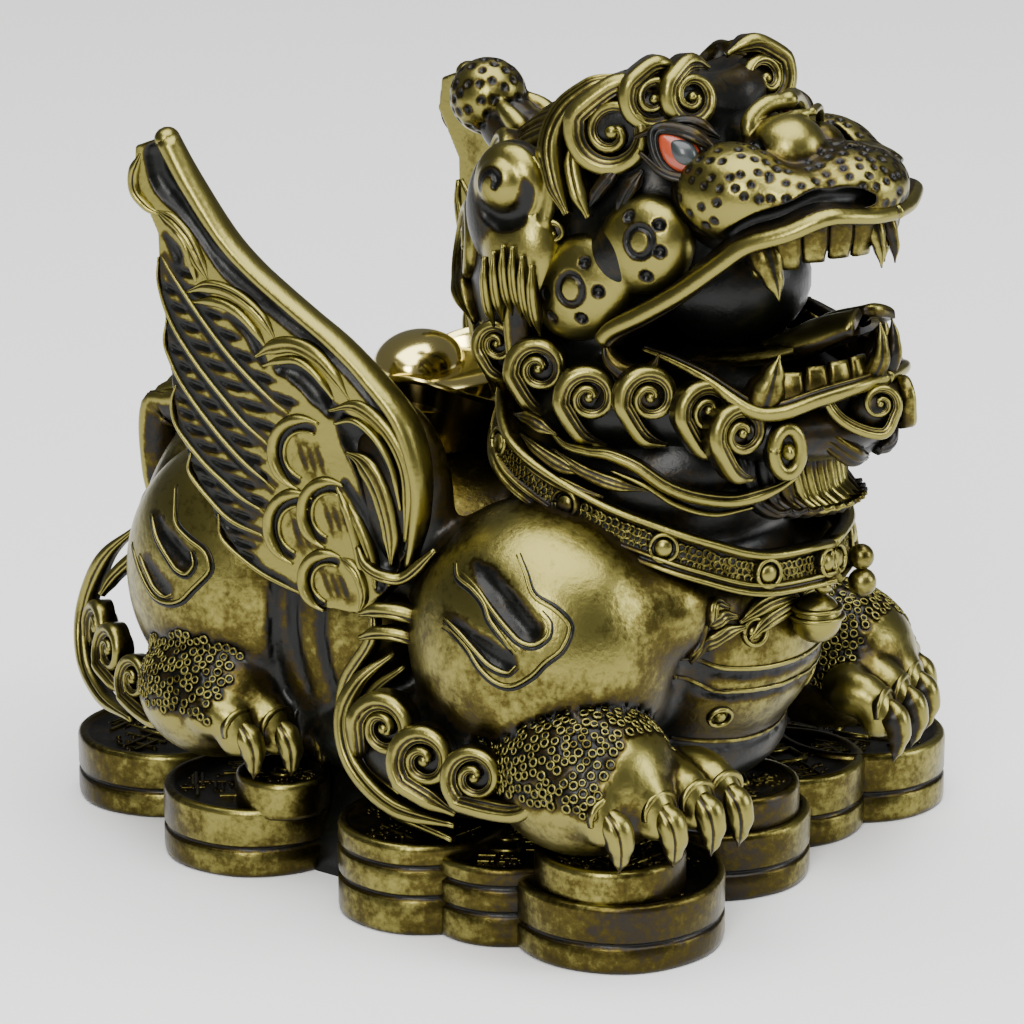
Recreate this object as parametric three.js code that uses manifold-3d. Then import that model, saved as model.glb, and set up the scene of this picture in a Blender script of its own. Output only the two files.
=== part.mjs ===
// Pixiu figure: a winged guardian beast that crouches on a heap of coins, cast in one piece,
// with a gold ingot that rests loose in a seat on its back. Millimetres, +Z up, nose towards -Y.
import * as THREE from 'three';
import { mergeVertices } from 'three/addons/utils/BufferGeometryUtils.js';
import Module from 'manifold-3d';

const wasm = await Module();
wasm.setup();

// Driving dimensions of the cast figure. Its pose and carving are shares of its height.
const figureHeight = 112;
const drawnHeight = 112;
const share = figureHeight / drawnHeight;

// Driving dimensions of the coins in the heap
const coinThickness = 9.2;
const topCoinThickness = 4.2;
const coinGrooveDepth = 0.7;
const moundHeight = 15;
const coinSides = 10;

// Corners round the rim of each coiled lock
const curlSides = 7;

// Driving dimensions of the collar, the bell and the horn ball
const collarWidth = 5.6;
const collarThickness = 2.6;
const bellRadius = 3.5;
const hornBallRadius = 5.3;

// Driving dimensions of the wings
const wingThickness = 3.2;
const wingBarRadius = 2;
const featherCount = 6;
const featherHeight = 0.9;

// Driving dimensions of the ingot and its seat
const ingotLength = 28;
const ingotWidth = 22;
const ingotRimHeight = 8.5;
const ingotEndLift = 5.6;
const ingotDeckHeight = 12.6;
const ingotDomeHeight = 4.6;
const ingotTurn = 14;
const ingotPlace = [0, 11, 51.5];
const seatClearance = 0.3;

// A closed geometry as a solid, with its faces turned outwards.
function solidOf(geometry) {
  geometry.deleteAttribute('normal');
  geometry.deleteAttribute('uv');
  const merged = mergeVertices(geometry, 1e-4);
  const vertProperties = Float32Array.from(merged.attributes.position.array);
  const triVerts = [];
  const corner = [0, 1, 2].map(() => new THREE.Vector3());
  let volume = 0;
  for (let i = 0; i < merged.index.count; i += 3) {
    const ids = [0, 1, 2].map((k) => merged.index.getX(i + k));
    if (ids[0] === ids[1] || ids[1] === ids[2] || ids[2] === ids[0]) continue;
    ids.forEach((id, k) => corner[k].fromArray(vertProperties, 3 * id));
    volume += corner[0].dot(corner[1].cross(corner[2]));
    triVerts.push(ids);
  }
  const outward = volume > 0 ? triVerts : triVerts.map(([a, b, c]) => [a, c, b]);
  return new wasm.Manifold(new wasm.Mesh({
    numProp: 3,
    vertProperties,
    triVerts: Uint32Array.from(outward.flat()),
  }));
}

function join(solids) {
  let level = solids.flat(Infinity);
  while (level.length > 1) {
    const next = [];
    for (let i = 0; i < level.length; i += 2) {
      next.push(i + 1 < level.length ? level[i].add(level[i + 1]) : level[i]);
    }
    level = next;
  }
  return level[0];
}

function meshOf(name, solid, material) {
  const mesh = solid.getMesh();
  const positions = [];
  for (let i = 0; i < mesh.vertProperties.length; i += mesh.numProp) {
    positions.push(...mesh.vertProperties.slice(i, i + 3));
  }
  const geometry = new THREE.BufferGeometry();
  geometry.setAttribute('position', new THREE.Float32BufferAttribute(positions, 3));
  geometry.setIndex(new THREE.BufferAttribute(Uint32Array.from(mesh.triVerts), 1));
  geometry.computeVertexNormals();
  const result = new THREE.Mesh(geometry, material);
  result.name = name;
  return result;
}

// Points of the figure are written in millimetres of the drawn height, x away from the mid-plane.
const point = ([x, y, z], side = 1) => new THREE.Vector3(side * x, y, z).multiplyScalar(share);
const bothSides = (make) => [-1, 1].map(make);

function ellipsoid(centre, radii, { side = 1, pitch = 0, yaw = 0, around = 10, down = 6 } = {}) {
  const geometry = new THREE.SphereGeometry(share, around, down);
  geometry.rotateX(Math.PI / 2);
  geometry.scale(...radii);
  geometry.rotateX(THREE.MathUtils.degToRad(pitch));
  geometry.rotateZ(THREE.MathUtils.degToRad(side * yaw));
  const place = point(centre, side);
  geometry.translate(place.x, place.y, place.z);
  return solidOf(geometry);
}

// A strand that follows points, its half width and half height given along it from 0 to 1. A flat
// one with four sides has a ribbon's section, and the others come to a ridge. Its root is how many
// times deeper it reaches into the casting.
function strand(path, width, height, shape = {}) {
  const { side = 1, out = [0, 0, 1], sides = 3, steps = 4, flat = false, root = 1 } = shape;
  const curve = new THREE.CatmullRomCurve3(path.map((p) => point(p, side)), false, 'centripetal');
  const outAt = typeof out === 'function' ? out : () => out;
  const start = flat ? Math.PI / 4 : 0;
  const geometry = new THREE.CylinderGeometry(1, 1, 1, sides, steps, false, start);
  const position = geometry.attributes.position;
  const vertex = new THREE.Vector3();
  for (let i = 0; i < position.count; i++) {
    vertex.fromBufferAttribute(position, i);
    const t = THREE.MathUtils.clamp(vertex.y + 0.5, 0, 1);
    const tangent = curve.getTangent(t);
    const outward = point(outAt(t), side).normalize();
    const across = new THREE.Vector3().crossVectors(tangent, outward).normalize();
    const raised = new THREE.Vector3().crossVectors(across, tangent);
    const place = curve.getPoint(t);
    place.addScaledVector(across, vertex.x * width(t) * share);
    place.addScaledVector(raised, vertex.z * height(t) * share * (vertex.z > 0 ? 1 : root));
    position.setXYZ(i, place.x, place.y, place.z);
  }
  return solidOf(geometry);
}

const even = (size) => () => size;
const taper = (from, to) => (t) => THREE.MathUtils.lerp(from, to, t);
const leaf = (size, tip = 0.2) => (t) => tip + (size - tip) * Math.sin(Math.PI * t) ** 0.8;

// A coiled lock, as a snail that winds inwards and rises from its rim, on a root that reaches
// into the casting. The clock angle is 0 upwards and 90 towards the nose; hand +1 winds clockwise
// as seen on the beast's right.
function curl(centre, radius, facing, { side = 1, clock = 180, hand = 1, root = 1.4 } = {}) {
  const normal = new THREE.Vector3(...facing).normalize();
  const upward = new THREE.Vector3(0, 0, 1).addScaledVector(normal, -normal.z).normalize();
  const forward = new THREE.Vector3().crossVectors(normal, upward);
  const geometry = new THREE.CylinderGeometry(1, 1, 1, curlSides);
  const position = geometry.attributes.position;
  const vertex = new THREE.Vector3();
  for (let i = 0; i < position.count; i++) {
    vertex.fromBufferAttribute(position, i);
    const rim = Math.hypot(vertex.x, vertex.z) > 0.5;
    const around = Math.atan2(vertex.x, vertex.z) / (2 * Math.PI);
    const wound = ((around + 1.001) % 1) * (1 + 1 / curlSides);
    const reach = rim ? radius * (1 - 0.42 * wound) : 0;
    const rise = vertex.y > 0 ? radius * (rim ? 0.1 + 0.4 * wound : 0.62) : -radius * root;
    const angle = THREE.MathUtils.degToRad(clock) + hand * around * 2 * Math.PI;
    const place = new THREE.Vector3(...centre)
      .addScaledVector(upward, reach * Math.cos(angle))
      .addScaledVector(forward, reach * Math.sin(angle))
      .addScaledVector(normal, rise)
      .multiplyScalar(share);
    position.setXYZ(i, side * place.x, place.y, place.z);
  }
  return solidOf(geometry);
}

// Heap of coins

function coin(x, y, radius, thickness, bottom, split) {
  const top = bottom + thickness;
  const seam = bottom + thickness * 0.42;
  const groove = coinGrooveDepth * 0.7;
  const profile = [[0, bottom], [radius, bottom]];
  if (split) {
    profile.push([radius, seam - groove], [radius - coinGrooveDepth, seam], [radius, seam + groove]);
  }
  profile.push([radius, top], [0, top]);
  const geometry = new THREE.LatheGeometry(profile.map(([r, z]) => new THREE.Vector2(r, z)), coinSides);
  geometry.rotateX(Math.PI / 2);
  geometry.translate(x * share, y * share, 0);
  return solidOf(geometry);
}

function heap() {
  const shownCoins = [
    [-15.4, 48, 12.5, 0], [-25.6, 24, 12.5, 0.4], [-29.9, -7.1, 11, 3.2], [-27.7, -18.7, 10, 1.6],
    [-23.3, -33.3, 13.9, 0], [3.5, -31.5, 12, 0], [23.4, -28.9, 11, 0.8], [38.4, -31.6, 12, 0.8],
  ];
  const farCoins = [[37.5, -9, 11.4, 0.4], [35, 15, 12, 1.2], [28, 37, 12.5, 0.2], [7, 50, 10.5, 0.9]];
  const upperCoins = [[-28.6, 16.9, 6.4], [-26.4, -34.3, 9.7], [3.6, -33.3, 9]];
  const pieces = [...shownCoins, ...farCoins].map(([x, y, r, more], i) => (
    coin(x, y, r * share, coinThickness + more, 0, i < shownCoins.length)));
  for (const [x, y, r] of upperCoins) {
    pieces.push(coin(x, y, r * share, topCoinThickness + 1, coinThickness - 1, false));
  }
  const mound = new THREE.CylinderGeometry(0.82, 1, moundHeight, 10);
  mound.rotateX(Math.PI / 2);
  mound.scale(31 * share, 43 * share, 1);
  mound.translate(3 * share, 4 * share, moundHeight / 2);
  pieces.push(solidOf(mound));
  return pieces;
}

// Trunk, haunches, shoulders and chest

function trunk() {
  const broad = { around: 9, down: 6 };
  const pieces = [
    ellipsoid([0, 10, 33], [24, 38, 21.5], { pitch: 8, ...broad }),
    ellipsoid([0, -28, 36], [19, 18, 18], broad),
    ellipsoid([0, -25, 56], [20, 21, 13], { pitch: -20, ...broad }),
    ellipsoid([0, 2, 21], [30, 42, 14], { around: 10, down: 4 }),
  ];
  pieces.push(bothSides((side) => ellipsoid([21.5, 28, 37], [14.6, 17.5, 19], { side, ...broad })));
  pieces.push(ellipsoid([22, -21, 37.5], [17, 18, 18.5], { side: -1, ...broad }));
  pieces.push(ellipsoid([20.5, -17.5, 35.5], [17, 17.5, 18], broad));
  return pieces;
}

// A three-pronged flame in low relief, round a centre on a shoulder or a haunch.
function flame(centre, facing, size, side) {
  const normal = new THREE.Vector3(...facing).normalize();
  const upward = new THREE.Vector3(0, 0, 1).addScaledVector(normal, -normal.z).normalize();
  const forward = new THREE.Vector3().crossVectors(normal, upward);
  const on = (ahead, up) => new THREE.Vector3(...centre)
    .addScaledVector(forward, size * ahead)
    .addScaledVector(upward, size * up)
    .toArray();
  const prongs = [
    [on(0.6, -1.1), on(1.1, -0.5), on(0.45, 0.2), on(0.35, 1)],
    [on(0.7, -1.1), on(0.1, -0.35), on(-0.4, 0), on(-0.6, 0.7)],
    [on(0.6, -1.2), on(-0.2, -0.9), on(-0.8, -0.6), on(-1.1, 0)],
  ];
  return prongs.map((path) => strand(path, leaf(2.5), leaf(1.9), { side, out: facing, steps: 2, root: 2.5 }));
}

function flames(side) {
  const shoulder = side < 0 ? [36.2, -27, 44.2] : [34.4, -23.4, 42];
  return [
    flame(shoulder, [0.85, -0.3, 0.4], 8.2, side),
    flame([33, 30.5, 44], [0.9, 0.1, 0.4], 7.6, side),
  ];
}

// Feet: each toe ends in a claw that bends down over the edge of the coins.
function paw(side, centre, radii, toes, drop) {
  const pieces = [ellipsoid(centre, radii, { side, around: 7, down: 5 })];
  for (const [x, y, z] of toes) {
    const reach = [x, y, z].map((value, i) => THREE.MathUtils.lerp(value, centre[i], 0.4));
    const path = [reach, [x, y + 1.4, z + 2.4], [x, y - 2.2, z - 0.4], [x, y - 3.4, z - drop]];
    const size = (t) => (t < 0.4 ? 3.5 : THREE.MathUtils.lerp(3.5, 0.6, ((t - 0.4) / 0.6) ** 1.4));
    pieces.push(strand(path, size, size, { side, out: [0, -0.3, 1], sides: 4, steps: 3 }));
  }
  return pieces;
}

function feet(side) {
  const frontToes = [[36.5, -37.7, 21.5], [30.5, -41.7, 21.3], [24.5, -43.4, 21.3], [19, -44, 21]];
  const hindToes = [[36.5, 20.5, 21], [32.2, 17.6, 20.6], [27, 16.5, 20.6]];
  return [
    paw(side, [29.5, -32, 23.5], [10.8, 12.5, 10.3], frontToes, 5.5),
    paw(side, [30, 27, 23], [9.5, 11, 9], hindToes, 5),
  ];
}

// Locks of hair behind each elbow and at the back of each haunch
function legLocks(side) {
  const elbow = [[34, -3, 27, 4.6], [37.3, -10.2, 23.6, 4.4], [39, -18, 22.4, 4.2], [39, -25.4, 22.3, 3.9]];
  const haunch = [[24, 51, 27, 4.5], [28.8, 46, 24.2, 4.5], [32.5, 40.5, 22.8, 4.3]];
  const wind = { side, clock: 300 };
  if (side > 0) {
    elbow.length = 3;
    haunch.length = 2;
  }
  const pieces = elbow.map(([x, y, z, r]) => curl([x, y, z], r, [1, -0.15, 0.1], wind));
  pieces.push(haunch.map(([x, y, z, r]) => curl([x, y, z], r, [0.8, 0.6, 0.1], wind)));
  const sweep = { side, out: [1, 0.2, 0], steps: 4 };
  const elbowLock = [[31, -2, 46], [33, -5, 38], [34, 0.5, 30], [35, -1, 22], [38, -12, 18.6], [38.6, -24, 18.6]];
  const haunchLock = [[22, 47, 40], [23, 51, 35], [22, 53.5, 27], [25, 51, 20.5], [31, 43, 19], [33, 35, 20]];
  pieces.push(strand(elbowLock, leaf(2.6), even(2.2), sweep));
  pieces.push(strand(haunchLock, leaf(2.6), even(2.2), sweep));
  pieces.push(ellipsoid([30, -12, 22], [8.5, 16, 8], { side, around: 7, down: 4 }));
  return pieces;
}

function tail() {
  const plume = [[0, 40, 50], [0, 50, 56.5], [0, 55.5, 52], [0, 56.5, 42], [0, 55, 30]];
  return [
    ellipsoid([0, 42, 36], [24, 12, 21], { around: 9, down: 5 }),
    strand(plume, leaf(7, 2), leaf(4, 1.5), { out: [0, 1, 0.4], sides: 4, steps: 4 }),
    bothSides((side) => curl([9.5, 54, 36], 5.4, [0.3, 1, 0], { side, hand: -1 })),
  ];
}

// Wings: a swept plate, thick at its leading bar, with feathers fanned over its outer face.

const wingX = (y, z) => 30 + 0.1 * (y + 5) + 0.05 * Math.max(0, 60 - z);
const leadingEdge = [[31.6, 97.2], [25, 87], [17, 79.8], [8.4, 74.4], [0.8, 70], [-4.8, 65], [-7.4, 57]];
const trailingEdge = [[32.6, 97.4], [32.8, 87], [31.8, 76], [30.4, 64], [26.6, 53.6], [18.6, 45], [5, 39]];

const alongEdge = (edge) => new THREE.CatmullRomCurve3(edge.map((p) => new THREE.Vector3(...p, 0)));
const leadingCurve = alongEdge(leadingEdge);
const trailingCurve = alongEdge(trailingEdge);

// A feather line leaves the trailing edge at a share of its length and runs in to the shoulder.
function featherLine(fan, inward) {
  const tip = trailingCurve.getPoint(fan);
  const root = new THREE.Vector3(-7.4 + 6 * fan, 57 - 17 * fan, 0);
  const straight = tip.clone().lerp(root, inward);
  const follow = (1 - fan) ** 2 * Math.min(1, 3 * inward);
  return straight.lerp(leadingCurve.getPoint(inward), follow);
}

function wing(side) {
  const plate = new THREE.BoxGeometry(1, 1, 1, 2 * featherCount, 1, 3);
  const position = plate.attributes.position;
  for (let i = 0; i < position.count; i++) {
    const across = position.getX(i) + 0.5;
    const ridge = Math.round(across * 2 * featherCount) % 2 === 1;
    const inward = position.getZ(i) + 0.5;
    const tuck = ridge ? 0 : 0.06 * Math.min(1, 6 * across);
    const { x: y, y: z } = featherLine(across, tuck + (1 - tuck) * inward);
    const half = wingThickness / 2 + (ridge ? featherHeight : 0);
    const x = wingX(y, z) * share + 2 * position.getY(i) * half;
    position.setXYZ(i, side * x, y * share, z * share);
  }
  const barSize = (t) => wingBarRadius / share * (0.7 + 0.6 * Math.sin(Math.PI * Math.min(1, t + 0.15)));
  const barShape = { side, out: [1, 0, 0], sides: 4, steps: 4 };
  return [
    solidOf(plate),
    strand(leadingEdge.map(([y, z]) => [wingX(y, z), y, z]), barSize, barSize, barShape),
    ellipsoid([27, -1, 54], [6, 8.5, 13], { side, around: 7, down: 5 }),
  ];
}

// Neck dress: a studded collar with a bell, and a rope of hair above it

const collarLine = [
  [0, -49.9, 45.8], [10.2, -45.8, 45.6], [15.8, -40.3, 47.1], [18.8, -34.7, 48.8], [21.3, -28.9, 51.1],
  [22.7, -20.7, 55.3], [22, -13.5, 59.5], [15, -5.5, 64], [0, -2.5, 66],
];

function collar() {
  const middle = [0, -25, 54];
  const curve = new THREE.CatmullRomCurve3(collarLine.map((p) => new THREE.Vector3(...p)));
  const outAt = (t) => curve.getPoint(t).sub(new THREE.Vector3(...middle)).setZ(0).toArray();
  const half = (size) => even(size / 2 / share);
  return bothSides((side) => {
    const band = { side, out: outAt, sides: 4, steps: 6, flat: true };
    const pieces = [strand(collarLine, half(collarWidth), half(collarThickness), band)];
    const rope = [
      [22.5, -8, 66], [22.4, -15, 62], [22.2, -23.2, 60.2], [21, -30.1, 60], [18.8, -36.3, 57.7],
      [13.5, -41.7, 55.4], [8, -45.8, 55.2], [2, -48.4, 52],
    ];
    pieces.push(strand(rope, even(2.6), even(2.6), { side, out: [0.3, 0, 1], steps: 5 }));
    return pieces;
  });
}

function bell() {
  const radius = bellRadius / share;
  const pieces = [
    ellipsoid([0, -47.2, 38.6], [radius, radius, radius], { around: 7, down: 5 }),
    strand([[0, -46, 46], [0, -49, 43.5], [0, -47, 40]], even(1.2), even(1.2), { out: [1, 0, 0], steps: 2 }),
  ];
  const knot = [[0, -46.4, 42], [6, -44.3, 41.6], [11, -41, 41], [14.5, -37.5, 39.5]];
  pieces.push(bothSides((side) => {
    return strand(knot, leaf(2.6), leaf(2), { side, out: [0.4, -1, 0.1], steps: 3 });
  }));
  return pieces;
}

// Scutes across the chest, as the edges of overlapping plates
function chestPlates() {
  const levels = [[32, 18.2], [24.5, 14.8]];
  return levels.map(([z, reach]) => {
    const path = [-0.72, -0.4, 0, 0.4, 0.72].map((a) => {
      const angle = a * Math.PI / 2;
      return [Math.sin(angle) * reach, -27.4 - Math.cos(angle) * (reach - 1), z - 0.6 * Math.cos(angle)];
    });
    return strand(path, even(1), even(1.3), { out: [0, -1, 0], steps: 4, root: 3 });
  });
}

// Head: skull, snout, open jaws with teeth, nose, eyes, ears, horn and coiled mane

const upperLip = [
  [18, -29.6, 76], [17, -34.7, 80.6], [15.8, -39.7, 85.7], [14.4, -44.7, 90.3],
  [12.1, -50.2, 93.4], [9, -53.4, 94.6], [4.6, -56.2, 94.4], [0, -57.2, 93.8],
];
const lowerLip = [
  [17.6, -31.6, 72.2], [16, -40, 70.6], [13.4, -48, 69.8], [10, -52.6, 71], [5.5, -55.6, 71.6], [0, -56.6, 71.8],
];

function mouthCut() {
  const profile = [
    [-27, 73], [-29.6, 77.5], [-34.7, 82], [-39.7, 87], [-44.7, 91], [-50.5, 93.8], [-56, 94.8],
    [-68, 94], [-68, 73.4], [-59, 73.2], [-54, 71.6], [-48, 70.2], [-40, 71], [-31, 72],
  ];
  const shape = new THREE.Shape(profile.map(([y, z]) => new THREE.Vector2(y, z)));
  const geometry = new THREE.ExtrudeGeometry(shape, { depth: 50, bevelEnabled: false });
  const position = geometry.attributes.position;
  for (let i = 0; i < position.count; i++) {
    const place = [position.getZ(i) - 25, position.getX(i), position.getY(i)];
    position.setXYZ(i, ...place.map((value) => value * share));
  }
  return solidOf(geometry);
}

function skull() {
  const solid = join([
    ellipsoid([0, -23, 86], [17.6, 20.5, 20], { around: 11, down: 7 }),
    ellipsoid([0, -41, 92.5], [14.2, 18.3, 8.4], { pitch: -10, around: 11, down: 6 }),
    ellipsoid([0, -38, 66.5], [16.3, 19.5, 6.6], { pitch: 2, around: 11, down: 4 }),
    ellipsoid([0, -50.2, 96.4], [8, 8.4, 5.4], { around: 8, down: 5 }),
    bothSides((side) => ellipsoid([10.8, -41.6, 96.6], [6.6, 8, 6.2], { side, around: 9, down: 6 })),
  ]);
  return solid.subtract(mouthCut());
}

function tooth(base, length, radius, side, lean = 0) {
  const [x, y, z] = base;
  const path = [[x, y, z], [x, y - lean, z + length * 0.5], [x * 0.97, y - lean * 0.4, z + length]];
  return strand(path, taper(radius, 0.3), taper(radius, 0.3), { side, out: [1, 0, 0], steps: 1 });
}

function mouth() {
  const tongue = [[0, -27, 71], [0, -36, 72], [0, -44, 73.6], [0, -52, 76]];
  const pieces = [strand(tongue, leaf(9, 3), leaf(3.6, 1), { out: [0, 0, 1], sides: 5, steps: 3 })];
  const lip = { out: [0.9, -0.3, 0.3], steps: 6 };
  pieces.push(bothSides((side) => [
    strand(upperLip, even(1.7), even(1.7), { side, ...lip }),
    strand(lowerLip, even(1.6), even(1.7), { side, ...lip }),
    tooth([12, -48.4, 92.5], -8.5, 2.2, side, -0.6),
    tooth([12, -48.4, 70], 7.6, 2.1, side, 0.4),
    tooth([7, -55.2, 94.6], -4.2, 1.7, side),
    tooth([2.6, -57, 94.4], -4.4, 1.7, side),
  ]));
  return pieces;
}

function face(side) {
  return [
    ellipsoid([13.2, -34.6, 100.6], [4.4, 4.8, 3.4], { side, around: 6, down: 4 }),
    ellipsoid([15.6, -27, 87], [4.4, 9, 6], { side, pitch: -35, around: 7, down: 4 }),
    ellipsoid([3.2, -44.6, 101], [3.8, 4, 4.2], { side, around: 7, down: 5 }),
  ];
}

function ear(side) {
  const hair = [
    [[21.4, -10.5, 91], [22.4, -9.5, 86], [21.4, -10.5, 80.5]],
    [[21.4, -14, 91], [22.4, -14.4, 86], [21.4, -15, 80]],
  ];
  const pieces = hair.map((path) => strand(path, leaf(2.4), leaf(2), { side, out: [1, 0, 0], steps: 2, root: 2 }));
  pieces.push(curl([20, -12.6, 95.4], 5, [1, -0.1, 0.15], { side, clock: 200 }));
  pieces.push(ellipsoid([16.5, -12, 90], [5, 7.5, 9], { side, around: 8, down: 5 }));
  return pieces;
}

function horn() {
  const radius = hornBallRadius / share;
  const path = [[0, -9, 91], [0, -4.6, 94.5], [0, 0, 97.6], [0, 3.6, 101]];
  return [
    strand(path, taper(6, 3.4), taper(5, 3.4), { out: [0, 0, 1], sides: 5, steps: 1 }),
    ellipsoid([0, 3.8, 101.2], [radius, radius, radius], { around: 9, down: 6 }),
  ];
}

function maneCurls(side) {
  const chain = [
    [20.6, -13.6, 77.6, 4.9], [21.4, -20.4, 72.8, 4.9], [20.6, -27.2, 69.6, 4.8], [19, -34, 68.6, 4.7],
    [15.4, -40.4, 66.8, 4.7], [10.6, -47, 64.4, 4.6],
  ];
  const pieces = chain.map(([x, y, z, r], i) => {
    const facing = [1 - 0.09 * i, -0.15 - 0.14 * i, 0.05];
    return curl([x, y, z], r, facing, { side, clock: 300 - 8 * i });
  });
  const crown = [
    [15, -25.4, 102.6, 5.6], [11, -29.6, 106.6, 5.2], [4.4, -30.8, 106.2, 5],
  ];
  for (const [x, y, z, r] of crown) {
    pieces.push(curl([x, y, z], r, [0.9, -0.3, 0.25], { side, clock: 290 }));
  }
  pieces.push(curl([12, -2.6, 84], 6, [0.6, 0.8, 0.1], { side, clock: 80, hand: -1 }));
  const crownLock = [[17, -19.4, 93], [16.6, -20.4, 99.6], [15.4, -23, 104.6], [13.6, -27, 107]];
  pieces.push(strand(crownLock, leaf(2.9, 1), leaf(3, 1), { side, out: [1, 0, 0.3], sides: 4, steps: 3 }));
  return pieces;
}

function mane() {
  const pieces = [
    ellipsoid([0, -12, 82], [19.4, 13.4, 20.5], { around: 9, down: 6 }),
    ellipsoid([0, -27, 101], [14, 9, 7], { around: 8, down: 4 }),
    ellipsoid([0, -25, 67], [20.6, 22, 11], { pitch: -10, around: 10, down: 4 }),
  ];
  pieces.push(curl([0, -55.4, 67.6], 4, [0.25, -1, 0.1], { clock: 0 }));
  const beard = [-4.6, 0, 4.6];
  for (const x of beard) {
    const drop = 50 + 0.25 * Math.abs(x);
    const path = [[x, -45, 64], [x, -46, 57], [x * 0.8, -45.4, drop]];
    pieces.push(strand(path, leaf(3.2, 1), leaf(3, 1), { out: [0, -1, 0], steps: 2 }));
  }
  return pieces;
}

// Ingot: a boat-shaped hull with lifted ends, a raised deck and a smooth dome. A profile's first
// number is a share of the hull's half length and half width, its second a height in millimetres.

function ingotShape(profile) {
  const geometry = new THREE.LatheGeometry(profile.map(([r, z]) => new THREE.Vector2(r, z)), 16);
  geometry.rotateX(Math.PI / 2);
  const position = geometry.attributes.position;
  for (let i = 0; i < position.count; i++) {
    const [x, y, z] = [position.getX(i), position.getY(i), position.getZ(i)];
    const reach = Math.hypot(x, y);
    const lift = ingotEndLift * x * x * reach * reach;
    position.setXYZ(i, x * ingotLength / 2, y * ingotWidth / 2, z + lift);
  }
  geometry.rotateZ(THREE.MathUtils.degToRad(ingotTurn));
  geometry.translate(...ingotPlace);
  return solidOf(geometry);
}

const hullProfile = [[0, 0], [0.42, 0], [0.66, 0.2], [0.8, 0.5], [0.9, 0.8], [1, 1]]
  .map(([r, z]) => [r, z * ingotRimHeight]);

function ingot() {
  const valley = 0.75 * ingotRimHeight;
  const deck = [[0.94, ingotRimHeight], [0.84, valley], [0.76, ingotDeckHeight], [0, ingotDeckHeight]];
  const dome = new THREE.SphereGeometry(1, 10, 6);
  dome.rotateX(Math.PI / 2);
  dome.scale(ingotLength * 0.27, ingotWidth * 0.27, ingotDomeHeight);
  const [x, y, z] = ingotPlace;
  dome.translate(x - 0.06 * ingotLength, y + 0.14 * ingotWidth, z + ingotDeckHeight);
  return ingotShape([...hullProfile, ...deck]).add(solidOf(dome));
}

// The seat is the hull, grown by the clearance and carried up so that the ingot lifts out.
function ingotSeat() {
  const grow = 1 + 2 * seatClearance / ingotWidth;
  const seat = hullProfile.map(([r, z]) => [r * grow, z - seatClearance]);
  const top = 3 * ingotRimHeight;
  return ingotShape([...seat, [1.06, top], [0, top]]);
}

function figure() {
  const body = join([
    heap(), trunk(), tail(), collar(), bell(), chestPlates(), mane(), horn(), mouth(), skull(),
    bothSides((side) => [flames(side), feet(side), legLocks(side), wing(side), face(side), ear(side), maneCurls(side)]),
  ]);
  const below = new THREE.BoxGeometry(200, 200, 40);
  below.translate(0, 0, -20);
  return body.subtract(solidOf(below)).subtract(ingotSeat());
}

const antiqueGold = new THREE.MeshStandardMaterial({ color: 0x8f7a3e, roughness: 0.42, metalness: 0.7 });
const brightGold = new THREE.MeshStandardMaterial({ color: 0xd8c46a, roughness: 0.16, metalness: 1 });

const pixiu = new THREE.Group();
pixiu.add(meshOf('pixiu', figure(), antiqueGold));
pixiu.add(meshOf('gold_ingot', ingot(), brightGold));

// The origin lies under the middle of the whole figure, on its underside.
const box = new THREE.Box3().setFromObject(pixiu);
const middle = box.getCenter(new THREE.Vector3());
pixiu.position.set(-middle.x, -middle.y, -box.min.z);

export default pixiu;
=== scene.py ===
import math

import bpy
import numpy as np
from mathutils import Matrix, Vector


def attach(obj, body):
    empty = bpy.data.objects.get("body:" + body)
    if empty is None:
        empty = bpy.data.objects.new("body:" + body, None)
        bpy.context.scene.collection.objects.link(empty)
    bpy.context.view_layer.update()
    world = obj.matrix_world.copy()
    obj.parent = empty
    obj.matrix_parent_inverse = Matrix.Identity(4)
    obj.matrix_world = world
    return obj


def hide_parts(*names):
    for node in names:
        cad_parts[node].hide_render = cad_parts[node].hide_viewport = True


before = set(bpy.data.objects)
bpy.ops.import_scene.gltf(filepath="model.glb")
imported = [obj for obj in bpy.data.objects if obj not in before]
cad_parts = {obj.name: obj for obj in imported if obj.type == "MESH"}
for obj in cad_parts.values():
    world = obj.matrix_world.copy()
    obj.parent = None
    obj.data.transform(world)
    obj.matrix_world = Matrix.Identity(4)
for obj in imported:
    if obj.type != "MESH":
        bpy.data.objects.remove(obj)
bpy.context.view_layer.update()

# the figure is drawn in millimetres about its own mid-plane, and then moved into the CAD frame
figureShift = np.array([4.062, 0.831, 0])


def toFrame(points):
    return (np.asarray(points, float) - figureShift) / 1000


def unit(vectors):
    vectors = np.asarray(vectors, float)
    return vectors / np.maximum(np.linalg.norm(vectors, axis=-1, keepdims=True), 1e-9)


# shells: closed meshes collected for one piece, each vertex with a value from 0 dark to 1 gold: the rubbed
# gold and black wash of the brass, together with painted shade in recesses, broad hollows and the flame
# outlines, and a painted reflection on the ingot's hull


def newPiece(name, material):
    return {"name": name, "material": material, "points": [], "faces": [], "wearAndPaintedLight": [], "count": 0}


def addShell(piece, points, faces, wearAndPaintedLight, side=1):
    points = np.array(points, float)
    points[:, 0] *= side
    faces = np.asarray(faces, int)
    a, b, c = (points[faces[:, k]] for k in range(3))
    if np.einsum("ij,ij->i", a, np.cross(b, c)).sum() < 0:
        faces = faces[:, ::-1]
    piece["points"].append(points)
    piece["faces"].append(faces + piece["count"])
    piece["wearAndPaintedLight"].append(np.broadcast_to(np.asarray(wearAndPaintedLight, float), (len(points),)))
    piece["count"] += len(points)


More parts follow.
